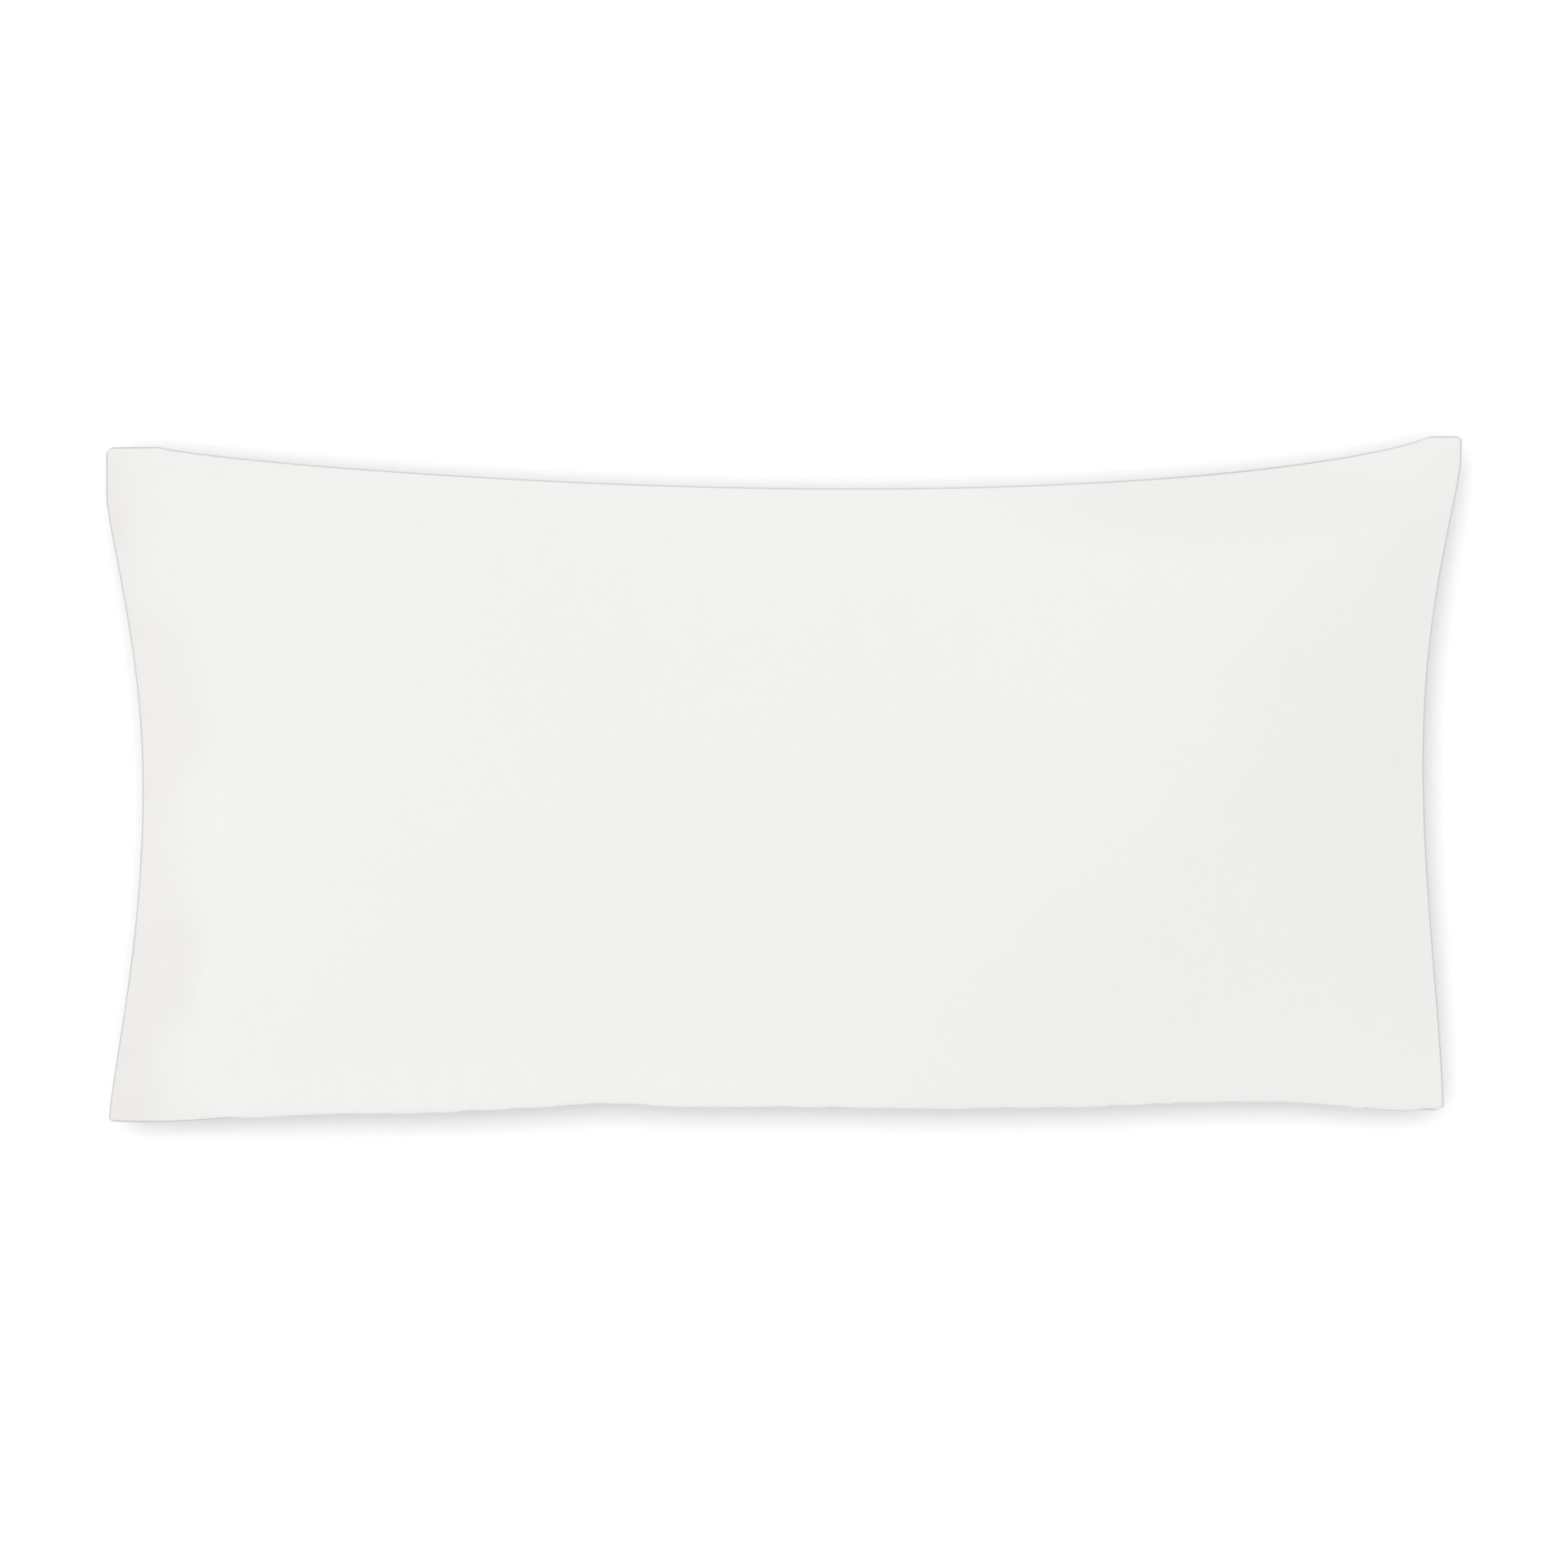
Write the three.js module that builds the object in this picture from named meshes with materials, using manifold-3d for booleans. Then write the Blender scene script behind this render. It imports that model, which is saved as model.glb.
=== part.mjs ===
// Bed pillow, 40 x 80 cm: a zipped cover of two panels around a sewn insert full of fibre.
// Millimetres, +Z up. X runs along the length and Y across the width. The cover's zip is in the
// -Y edge. The pillow lies flat, and the origin is on the floor under the middle of its outline.

import * as THREE from 'three';
import Module from 'manifold-3d';
import { mergeVertices } from 'three/addons/utils/BufferGeometryUtils.js';

const wasm = await Module();
wasm.setup();

// ---------------------------------------------------------------- driving dimensions, outline
// The seam's four corners in plan. The filled pillow draws its sides in between them.
const FRONT_LEFT = [-394, -199.5];
const FRONT_RIGHT = [385, -194];
const BACK_LEFT = [-395.5, 193];
const BACK_RIGHT = [395.5, 199.5];
const HALF_LENGTH = 395.5;
const HALF_WIDTH = 199.5;
// How far each side is drawn in at its middle, how blunt the curve is and how far it leans. The
// ears are the shares of either half of a side, next to its corners, that stay straight.
const BACK_SIDE = { depth: 27, power: 0.75, skew: 0.3, ears: [0.08, 0.05] };
const LEFT_SIDE = { depth: 20.5, power: 1.3, skew: 0, ears: [0, 0.15] };
const RIGHT_SIDE = { depth: 17, power: 1.3, skew: 0.4, ears: [0, 0.08] };
// The zip holds the middle of the front side straight, and a little in from where the corners
// are. Either end of that side bends a little.
const ZIP_LINE_Y = -187.5;
const FRONT_END_BEND = { left: -3, right: 4 };

// ---------------------------------------------------------------- driving dimensions, height
const SEAM_Z = 56;
const CROWN_HEIGHT = 72;
const BELLY_DEPTH = 66;
const CROWN_POWER = 0.85;
const SEAM_HALF_GAP = 0.5;
const SLIT_HALF_GAP = 0.8;
const EDGE_ROLL = 2;

// ---------------------------------------------------------------- driving dimensions, cloth
// Each layer lies inset from the seam in plan, lower than the crown by drop, and over its floor.
// Its cloth is wall thick, measured upright, and wallInset thick in plan.
const COVER = { inset: 0, drop: 0, floor: 0, wall: 0.8, wallInset: 1.1 };
const LABEL = { inset: 5, drop: 1.3, floor: 1.3, wall: 0.4, wallInset: 1 };
const TICKING = { inset: 13, drop: 2.4, floor: 2.2, wall: 0.6, wallInset: 0.9 };
const FILL = { inset: 20, drop: 4, floor: 3.8 };
const COVER_ALLOWANCE = 10;
const SLIT_ALLOWANCE = 1.8;
const TICKING_ALLOWANCE = 18;
const THREAD_HALF_HEIGHT = 0.2;
const THREAD_WIDTH = 0.8;
const THREAD_INSET = 1;

// ---------------------------------------------------------------- driving dimensions, zip
const ZIP_CENTRE_X = -4.5;
const ZIP_HALF_LENGTH = 170;
const STOP_LENGTH = 3;
const COIL_RADIUS = 0.75;
// Profile positions are [depth behind the seam line, height over the seam].
const COIL_CENTRE = [5.1, 1.6];
const COIL_END_GAP = 0.8;
const TAPE_BENDS = [[3, 1.2], [3.7, 3], [12, 9.6]];
const TAPE_OFFSET = [0.45, -0.35];
// The stitched row's place up the tape's slope, as shares, and behind it, in tape offsets.
const TAPE_ROW = { slope: [0.5, 0.58], behind: [1.7, 2.3] };
const STOP_GAP = 0.3;
const STOP_DEPTHS = [4.2, 6];
const STOP_HEIGHTS = [0.7, 2.4];
// The slider's boxes: half their length along the zip, their depths and their heights.
const FRONT_PLATE = { half: 4.5, depths: [-1.5, -0.4], heights: [-2.6, 2.6] };
const BRIDGE = { half: 3.3, depths: [-3.8, -1], heights: [-0.8, 0.8] };
const BRIDGE_WINDOW = { half: 2.3, depths: [-3, -1.5], heights: [-2, 2] };
const NECK = { half: 1.5, depths: [-0.8, 6.8], heights: [-0.4, 0.4] };
const BACK_PLATE = { half: 4.5, depths: [6.3, 7.1], heights: [-3.15, 3.15] };
const UPPER_FLANGE = { half: 4.5, depths: [5.4, 6.8], heights: [2.6, 3.15] };
const LOWER_FLANGE = { half: 4.5, depths: [5.4, 6.8], heights: [-3.15, -2.6] };
const SLIDER_STOP_GAP = 0.5;
// The pull, by distances along the zip from its hinge.
const PULL_HINGE_DEPTH = -2.3;
const PULL_THICKNESS = 1;
const PULL_PIN = { radius: 0.5, length: 3.6 };
const PULL_ARM = { from: -6, to: 0.3, heights: [1.2, 2.4] };
const PULL_PLATE = { from: -4.4, length: 22, endRadius: 3 };

// ---------------------------------------------------------------- driving dimensions, sewing
// Grid places, counted back from the end of the edge, where the stuffing hole begins and ends.
const STUFFING_HOLE = [8, 4];
// How far the hand-closed row lies in from the machine row, in thread widths.
const CLOSING_ROW_STEP = 1.5;

// ---------------------------------------------------------------- mesh grid
const LENGTH_CELLS = 20;
const WIDTH_CELLS = 12;
const ZIP_FIRST = 7;
const ZIP_LAST = 13;
const ROUND_SIDES = 10;

const lerp = THREE.MathUtils.lerp;
const gridValue = (i, cells) => -Math.cos((Math.PI * i) / cells);
const ZIP_REACH = gridValue(ZIP_LAST, LENGTH_CELLS);

const cloth = (colour) => new THREE.MeshStandardMaterial({ color: colour, roughness: 0.95 });
const MATERIALS = {
  cover: cloth(0xf1f1ef),
  ticking: cloth(0xf4f4f2),
  fibre: cloth(0xfafafa),
  thread: cloth(0xeeeeec),
  tape: cloth(0xf0f0ee),
  label: cloth(0xfcfcfc),
  coil: new THREE.MeshStandardMaterial({ color: 0xeeeeec, roughness: 0.5 }),
  enamel: new THREE.MeshStandardMaterial({ color: 0xededeb, roughness: 0.35, metalness: 0.2 }),
};

// ---------------------------------------------------------------- outline and layers

function drawnIn(t, side) {
  const reach = t / (1 - side.ears[t < 0 ? 0 : 1]);
  return side.depth * Math.max(0, 1 - reach * reach) ** side.power * (1 + side.skew * t);
}

function frontSideY(u) {
  if (Math.abs(u) <= ZIP_REACH + 1e-9) return ZIP_LINE_Y;
  const t = (Math.abs(u) - ZIP_REACH) / (1 - ZIP_REACH);
  const corner = u < 0 ? FRONT_LEFT : FRONT_RIGHT;
  const bend = u < 0 ? FRONT_END_BEND.left : FRONT_END_BEND.right;
  return lerp(ZIP_LINE_Y, corner[1], t) + bend * 4 * t * (1 - t);
}

// u runs from -1 at the left side to 1 at the right, and v from -1 at the front to 1 at the back.
function planPoint(u, v) {
  const along = (u + 1) / 2;
  const across = (v + 1) / 2;
  const left = lerp(FRONT_LEFT[0], BACK_LEFT[0], across) + drawnIn(v, LEFT_SIDE);
  const right = lerp(FRONT_RIGHT[0], BACK_RIGHT[0], across) - drawnIn(v, RIGHT_SIDE);
  const back = lerp(BACK_LEFT[1], BACK_RIGHT[1], along) - drawnIn(u, BACK_SIDE);
  return [lerp(left, right, along), lerp(frontSideY(u), back, across)];
}

function isSlit(i, j) {
  return j === 0 && i >= ZIP_FIRST && i <= ZIP_LAST;
}

// A point at grid place (i, j), inset in plan, at a height over the seam.
function placedPoint(i, j, inset, height) {
  const [x, y] = planPoint(gridValue(i, LENGTH_CELLS), gridValue(j, WIDTH_CELLS));
  return [x * (1 - inset / HALF_LENGTH), y * (1 - inset / HALF_WIDTH), SEAM_Z + height];
}

function halfGap(i, j) {
  return isSlit(i, j) ? SLIT_HALF_GAP : SEAM_HALF_GAP;
}

function isEdge(i, j) {
  return i === 0 || i === LENGTH_CELLS || j === 0 || j === WIDTH_CELLS;
}

// Height over the seam of a layer's outside, or of its inside, which is one wall further in.
// side is 1 for the crown and -1 for the belly, which lies flat on its floor. The cloth rolls
// over at the seam, so that there is room under it for the allowance.
function layerHeight(layer, side, i, j, wall) {
  if (isEdge(i, j)) return side * (halfGap(i, j) + wall);
  const u = gridValue(i, LENGTH_CELLS);
  const v = gridValue(j, WIDTH_CELLS);
  const roundness = ((1 - u ** 4) * (1 - v * v)) ** CROWN_POWER;
  const full = side > 0 ? CROWN_HEIGHT : BELLY_DEPTH;
  const rolled = lerp(SEAM_HALF_GAP + EDGE_ROLL, full - layer.drop, roundness);
  if (side > 0) return rolled - wall;
  return -Math.min(rolled, SEAM_Z - layer.floor) + wall;
}

// ---------------------------------------------------------------- meshes of cloth

class Skin {
  constructor() {
    this.positions = [];
    this.triangles = [];
  }

  point(position) {
    this.positions.push(...position);
    return this.positions.length / 3 - 1;
  }

  quad(a, b, c, d) {
    this.triangles.push(a, b, c, a, c, d);
  }

  // Joins two loops of the same length. The strip runs on from faces that end at the first loop.
  strip(first, second, closed = true) {
    const count = closed ? first.length : first.length - 1;
    for (let k = 0; k < count; k += 1) {
      const next = (k + 1) % first.length;
      this.quad(first[next], first[k], second[k], second[next]);
    }
  }

  geometry(flipped = false) {
    const triangles = this.triangles.slice();
    if (flipped) {
      for (let k = 0; k < triangles.length; k += 3) {
        [triangles[k + 1], triangles[k + 2]] = [triangles[k + 2], triangles[k + 1]];
      }
    }
    const geometry = new THREE.BufferGeometry();
    geometry.setAttribute('position', new THREE.Float32BufferAttribute(this.positions, 3));
    geometry.setIndex(triangles);
    geometry.computeVertexNormals();
    return geometry;
  }
}

// The grid places round the edge of a block of cells, anticlockwise from the front left.
function edgePlaces(i0, i1, j0, j1) {
  const places = [];
  for (let i = i0; i < i1; i += 1) places.push([i, j0]);
  for (let j = j0; j < j1; j += 1) places.push([i1, j]);
  for (let i = i1; i > i0; i -= 1) places.push([i, j1]);
  for (let j = j1; j > j0; j -= 1) places.push([i0, j]);
  return places;
}

// Adds one face of a layer, its outside or its inside, over a block of cells. Returns the loop of
// vertices round the block's edge.
function addLayer(skin, layer, side, block, facesIn) {
  const [i0, i1, j0, j1] = block;
  const vertex = new Map();
  const wall = facesIn ? layer.wall : 0;
  const inset = facesIn ? layer.inset + layer.wallInset : layer.inset;
  for (let i = i0; i <= i1; i += 1) {
    for (let j = j0; j <= j1; j += 1) {
      const height = layerHeight(layer, side, i, j, wall);
      vertex.set(`${i},${j}`, skin.point(placedPoint(i, j, inset, height)));
    }
  }
  const at = (i, j) => vertex.get(`${i},${j}`);
  for (let i = i0; i < i1; i += 1) {
    for (let j = j0; j < j1; j += 1) {
      const corners = [at(i, j), at(i + 1, j), at(i + 1, j + 1), at(i, j + 1)];
      if (facesIn) skin.quad(corners[0], corners[3], corners[2], corners[1]);
      else skin.quad(...corners);
    }
  }
  return edgePlaces(...block).map(([i, j]) => at(i, j));
}

const WHOLE = [0, LENGTH_CELLS, 0, WIDTH_CELLS];

// One sewn panel: its outside, its inside, and the allowance turned in at the seam.
function panel(layer, side, allowanceAt) {
  const skin = new Skin();
  const outer = addLayer(skin, layer, side, WHOLE, false);
  const inner = addLayer(skin, layer, side, WHOLE, true);
  const foldLoop = (extra) => edgePlaces(...WHOLE).map(([i, j]) => {
    const height = side * (halfGap(i, j) + extra);
    return skin.point(placedPoint(i, j, allowanceAt(i, j), height));
  });
  const foldOuter = foldLoop(0);
  const foldInner = foldLoop(layer.wall);
  skin.strip(outer, foldOuter);
  skin.strip(foldOuter, foldInner);
  skin.strip(foldInner, inner);
  return skin.geometry(side < 0);
}

// A small patch of cloth over a block of cells of the crown, away from the seam.
function patch(layer, block) {
  const skin = new Skin();
  const outer = addLayer(skin, layer, 1, block, false);
  const inner = addLayer(skin, layer, 1, block, true);
  skin.strip(outer, inner);
  return skin.geometry();
}

// The fibre body: the crown and the belly of one layer, with a thin edge between them.
function filling(layer) {
  const crown = new Skin();
  const crownEdge = addLayer(crown, layer, 1, WHOLE, false);
  const belly = new Skin();
  const bellyEdge = addLayer(belly, layer, -1, WHOLE, false);
  const shift = crown.positions.length / 3;
  crown.positions.push(...belly.positions);
  for (let k = 0; k < belly.triangles.length; k += 3) {
    const [a, b, c] = belly.triangles.slice(k, k + 3);
    crown.triangles.push(a + shift, c + shift, b + shift);
  }
  crown.strip(crownEdge, bellyEdge.map((vertex) => vertex + shift));
  return crown.geometry();
}

// A flat row of stitches along the grid places given, between two insets from the seam.
function stitchRow(places, inset) {
  const skin = new Skin();
  const loop = (extra, height) => places.map(([i, j]) => (
    skin.point(placedPoint(i, j, inset + extra, height))
  ));
  const rows = [
    loop(0, -THREAD_HALF_HEIGHT),
    loop(THREAD_WIDTH, -THREAD_HALF_HEIGHT),
    loop(THREAD_WIDTH, THREAD_HALF_HEIGHT),
    loop(0, THREAD_HALF_HEIGHT),
  ];
  rows.forEach((row, k) => skin.strip(row, rows[(k + 1) % rows.length], false));
  const end = places.length - 1;
  skin.quad(rows[0][0], rows[3][0], rows[2][0], rows[1][0]);
  skin.quad(rows[0][end], rows[1][end], rows[2][end], rows[3][end]);
  return skin.geometry();
}

// ---------------------------------------------------------------- solids of the zip

function toSolid(geometry) {
  const bare = geometry.clone();
  bare.deleteAttribute('normal');
  bare.deleteAttribute('uv');
  const merged = mergeVertices(bare, 1e-4);
  return new wasm.Manifold(new wasm.Mesh({
    numProp: 3,
    vertProperties: new Float32Array(merged.attributes.position.array),
    triVerts: new Uint32Array(merged.index.array),
  }));
}

function toGeometry(solid) {
  const mesh = solid.getMesh();
  const geometry = new THREE.BufferGeometry();
  geometry.setAttribute('position', new THREE.BufferAttribute(mesh.vertProperties, 3));
  geometry.setIndex(new THREE.BufferAttribute(mesh.triVerts, 1));
  geometry.computeVertexNormals();
  return geometry;
}

const join = (geometries) => toGeometry(geometries.map(toSolid).reduce((a, b) => a.add(b)));

// A box by its limits: x along the zip, depth behind the seam line, height over the seam.
function zipBox([x0, x1], [d0, d1], [h0, h1]) {
  const box = new THREE.BoxGeometry(x1 - x0, d1 - d0, h1 - h0);
  return box.translate((x0 + x1) / 2, ZIP_LINE_Y + (d0 + d1) / 2, SEAM_Z + (h0 + h1) / 2);
}

const PROFILE_TO_ZIP = new THREE.Matrix4().makeBasis(
  new THREE.Vector3(0, 1, 0),
  new THREE.Vector3(0, 0, 1),
  new THREE.Vector3(1, 0, 0),
);

// A profile of [depth, height] points, run along the zip. side -1 turns it upside down.
function zipProfile(points, side, halfLength) {
  const shape = new THREE.Shape(points.map(([d, h]) => new THREE.Vector2(d, side * h)));
  const run = new THREE.ExtrudeGeometry(shape, { depth: 2 * halfLength, bevelEnabled: false });
  run.applyMatrix4(PROFILE_TO_ZIP);
  return run.translate(ZIP_CENTRE_X - halfLength, ZIP_LINE_Y, SEAM_Z);
}

const shifted = ([d, h], steps) => [d + TAPE_OFFSET[0] * steps, h + TAPE_OFFSET[1] * steps];

function tape(side) {
  const inner = TAPE_BENDS.map((bend) => shifted(bend, 1)).reverse();
  return zipProfile([...TAPE_BENDS, ...inner], side, ZIP_HALF_LENGTH);
}

// The row that sews a tape to the cover's allowance, half way up the tape's slope.
function tapeStitch(side) {
  const [, low, high] = TAPE_BENDS;
  const [start, stop] = TAPE_ROW.slope.map((share) => (
    [lerp(low[0], high[0], share), lerp(low[1], high[1], share)]
  ));
  const [near, far] = TAPE_ROW.behind;
  const points = [shifted(start, near), shifted(stop, near), shifted(stop, far), shifted(start, far)];
  return zipProfile(points, side, ZIP_HALF_LENGTH);
}

const COIL_HALF_LENGTH = ZIP_HALF_LENGTH - STOP_LENGTH - COIL_END_GAP;

function coil(side) {
  const rod = new THREE.CylinderGeometry(
    COIL_RADIUS, COIL_RADIUS, 2 * COIL_HALF_LENGTH, ROUND_SIDES,
  );
  rod.rotateZ(Math.PI / 2);
  return rod.translate(ZIP_CENTRE_X, ZIP_LINE_Y + COIL_CENTRE[0], SEAM_Z + side * COIL_CENTRE[1]);
}

const STOP_START = COIL_HALF_LENGTH + STOP_GAP;

function closedEndStop(side) {
  const heights = STOP_HEIGHTS.map((h) => side * h).sort((a, b) => a - b);
  const x0 = ZIP_CENTRE_X + STOP_START;
  return zipBox([x0, x0 + STOP_LENGTH], STOP_DEPTHS, heights);
}

function openEndStop() {
  const x1 = ZIP_CENTRE_X - STOP_START;
  const reach = STOP_HEIGHTS[1];
  return zipBox([x1 - STOP_LENGTH, x1], STOP_DEPTHS, [-reach, reach]);
}

const SLIDER_X = ZIP_CENTRE_X + STOP_START - SLIDER_STOP_GAP - FRONT_PLATE.half;

// The slider: a front plate with a bridge for the pull, a neck through the slit, and a back
// plate whose two flanges hold the coils.
function slider() {
  const box = ({ half, depths, heights }) => (
    toSolid(zipBox([SLIDER_X - half, SLIDER_X + half], depths, heights))
  );
  const plates = [FRONT_PLATE, NECK, BACK_PLATE, UPPER_FLANGE, LOWER_FLANGE].map(box);
  const bridge = box(BRIDGE).subtract(box(BRIDGE_WINDOW));
  return toGeometry([bridge, ...plates].reduce((a, b) => a.add(b)));
}

// The pull lies along the closed zip. Its cross pin turns under the slider's bridge.
function pull() {
  const hinge = [SLIDER_X, ZIP_LINE_Y + PULL_HINGE_DEPTH, SEAM_Z];
  const half = PULL_THICKNESS / 2;
  const depths = [PULL_HINGE_DEPTH - half, PULL_HINGE_DEPTH + half];
  const pin = new THREE.CylinderGeometry(
    PULL_PIN.radius, PULL_PIN.radius, PULL_PIN.length, ROUND_SIDES,
  );
  pin.rotateX(Math.PI / 2).translate(...hinge);
  const [low, high] = PULL_ARM.heights;
  const arm = (heights) => (
    zipBox([SLIDER_X + PULL_ARM.from, SLIDER_X + PULL_ARM.to], depths, heights)
  );
  const { from, length, endRadius } = PULL_PLATE;
  const outline = new THREE.Shape();
  outline.moveTo(from, -high);
  outline.lineTo(from, high);
  outline.lineTo(endRadius - length, endRadius);
  outline.absarc(endRadius - length, 0, endRadius, Math.PI / 2, Math.PI * 1.5, false);
  outline.lineTo(from, -high);
  const plate = new THREE.ExtrudeGeometry(outline, {
    depth: PULL_THICKNESS, bevelEnabled: false, curveSegments: ROUND_SIDES,
  });
  plate.rotateX(Math.PI / 2).translate(hinge[0], hinge[1] + half, hinge[2]);
  return join([pin, arm([low, high]), arm([-high, -low]), plate]);
}

// ---------------------------------------------------------------- assembly

const pillow = new THREE.Group();

function add(name, geometry, material) {
  const mesh = new THREE.Mesh(geometry, material);
  mesh.name = name;
  pillow.add(mesh);
}

const coverAllowance = (i, j) => (isSlit(i, j) ? SLIT_ALLOWANCE : COVER_ALLOWANCE);
const tickingAllowance = () => TICKING_ALLOWANCE;
const SIDES = [['upper', 1], ['lower', -1]];

SIDES.forEach(([word, side]) => {
  add(`cover_${word}_panel`, panel(COVER, side, coverAllowance), MATERIALS.cover);
  add(`ticking_${word}_panel`, panel(TICKING, side, tickingAllowance), MATERIALS.ticking);
  add(`zip_tape_${word}`, tape(side), MATERIALS.tape);
  add(`zip_tape_stitching_${word}`, tapeStitch(side), MATERIALS.thread);
  add(`zip_coil_${word}`, coil(side), MATERIALS.coil);
  add(`zip_end_stop_${word}`, closedEndStop(side), MATERIALS.enamel);
});

add('fibre_fill', filling(FILL), MATERIALS.fibre);
add('zip_start_stop', openEndStop(), MATERIALS.enamel);
add('zip_slider', slider(), MATERIALS.enamel);
add('zip_pull', pull(), MATERIALS.enamel);

// Labels: blank strips sewn to the inside of the cover and to the outside of the insert.
const middle = WIDTH_CELLS / 2;
const coverLabelCells = [1, 3, middle, middle + 1];
const insertLabelCells = [LENGTH_CELLS - 3, LENGTH_CELLS - 1, middle - 1, middle];
add('cover_care_label', patch(LABEL, coverLabelCells), MATERIALS.label);
add('insert_care_label', patch(LABEL, insertLabelCells), MATERIALS.label);

// The edge's grid places, starting at the front left corner. The cover is sewn from one end of
// the zip round to the other. The insert is sewn all round, and its stuffing hole is closed last.
const edge = edgePlaces(...WHOLE);
const coverSeam = [...edge.slice(ZIP_LAST), ...edge.slice(0, ZIP_FIRST + 1)];
const [holeStart, holeEnd] = STUFFING_HOLE.map((places) => edge.length - places);
const insertSeam = [...edge.slice(holeEnd), ...edge.slice(0, holeStart + 1)];
add('cover_seam_thread', stitchRow(coverSeam, THREAD_INSET), MATERIALS.thread);
const insertInset = TICKING.inset + THREAD_INSET;
add('insert_seam_thread', stitchRow(insertSeam, insertInset), MATERIALS.thread);
const closing = edge.slice(holeStart, holeEnd + 1);
const closingInset = insertInset + CLOSING_ROW_STEP * THREAD_WIDTH;
add('insert_closing_thread', stitchRow(closing, closingInset), MATERIALS.thread);

export default pillow;
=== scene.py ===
"""Bed pillow, 40 x 80 cm: a zipped cover of two panels round a sewn insert full of fibre.

The looks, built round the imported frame. Metres, in the frame's axes: +Z up, X along the length
and Y across the width. The zip is in the -Y edge, and the pillow lies on the floor at z = 0.
"""

import math
from functools import partial

import bmesh
import bpy
import numpy as np
from mathutils import Matrix, Vector


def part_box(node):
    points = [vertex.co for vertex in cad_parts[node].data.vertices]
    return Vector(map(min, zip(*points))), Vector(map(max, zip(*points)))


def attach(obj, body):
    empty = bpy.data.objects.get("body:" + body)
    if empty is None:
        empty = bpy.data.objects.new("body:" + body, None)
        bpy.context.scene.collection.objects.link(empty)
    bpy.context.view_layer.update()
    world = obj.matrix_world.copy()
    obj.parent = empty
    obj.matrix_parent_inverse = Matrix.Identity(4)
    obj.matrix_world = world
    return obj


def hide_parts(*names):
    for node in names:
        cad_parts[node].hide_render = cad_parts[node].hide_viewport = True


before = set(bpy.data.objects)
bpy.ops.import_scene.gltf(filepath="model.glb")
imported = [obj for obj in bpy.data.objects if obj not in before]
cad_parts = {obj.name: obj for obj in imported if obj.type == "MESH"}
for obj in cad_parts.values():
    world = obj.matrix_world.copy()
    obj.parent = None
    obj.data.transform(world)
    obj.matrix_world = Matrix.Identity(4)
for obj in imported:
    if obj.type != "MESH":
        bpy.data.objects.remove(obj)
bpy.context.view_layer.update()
MM = 0.001

# -------- the outline, as in the CAD
FRONT_LEFT = (-0.394, -0.1995)
FRONT_RIGHT = (0.385, -0.194)
BACK_LEFT = (-0.3955, 0.193)
BACK_RIGHT = (0.3955, 0.1995)
HALF_LENGTH = 0.3955
HALF_WIDTH = 0.1995
BACK_SIDE = {"depth": 0.027, "power": 0.75, "skew": 0.3, "ears": (0.08, 0.05)}
LEFT_SIDE = {"depth": 0.0205, "power": 1.3, "skew": 0.0, "ears": (0.0, 0.15)}
RIGHT_SIDE = {"depth": 0.017, "power": 1.3, "skew": 0.4, "ears": (0.0, 0.08)}
ZIP_LINE_Y = -0.1875
ZIP_REACH = 0.454
FRONT_END_BEND = {"left": -0.0027, "right": 0.004}
# The power says how near the corner the bend is deepest: 1 for half way, 3 for three quarters.
FRONT_BEND_POWER = {"left": 3, "right": 1}
FRONT_BEND_EASE = 0.06
SEAM_Z = 0.056

# -------- the cloth, as it was cut
CUT_HALF_LENGTH = 0.4
CUT_HALF_WIDTH = 0.2
CUT_HALVES = (CUT_HALF_LENGTH, CUT_HALF_WIDTH)
CORNER_RADIUS = {(-1, -1): 0.0025, (1, -1): 0.006, (-1, 1): 0.004, (1, 1): 0.0025}
COVER_CLOTH = 0.4 * MM
TICKING_CLOTH = 0.35 * MM
COVER_SEAM_ALLOWANCE = 0.010
TICKING_SEAM_ALLOWANCE = 0.005
SEAM_GAP = 0.1 * MM
SLIT_GAP = 0.8 * MM
LIP = 0.6 * MM

# Each inner layer lies further in from the seam, and has a share of the cover's height.
TICKING = {"inset": 0.013, "crown": 0.94, "belly": 0.961}
FILL = {"inset": 0.020, "crown": 0.90, "belly": 0.932}

# -------- the zip, as in the CAD
ZIP_CENTRE_X = -0.0045
ZIP_HALF_LENGTH = 0.170
COIL_HALF_LENGTH = 0.1662
COIL_CENTRE = (5.1 * MM, 1.6 * MM)
COIL_RADIUS = 0.75 * MM
TAPE_BENDS = [(3.0 * MM, 1.2 * MM), (3.7 * MM, 3.0 * MM), (12.0 * MM, 9.6 * MM)]
SLIDER_X = 0.157
PULL_HINGE_DEPTH = -2.3 * MM

SEED = 20


# ======== outline

def drawn_in(t, side):
    """How far a side is drawn in at t, from -1 at one end to 1 at the other."""
    reach = t / (1 - np.where(t < 0, side["ears"][0], side["ears"][1]))
    bow = np.clip(1 - reach**2, 0, None) ** side["power"]
    return side["depth"] * bow * (1 + side["skew"] * t)


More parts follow.
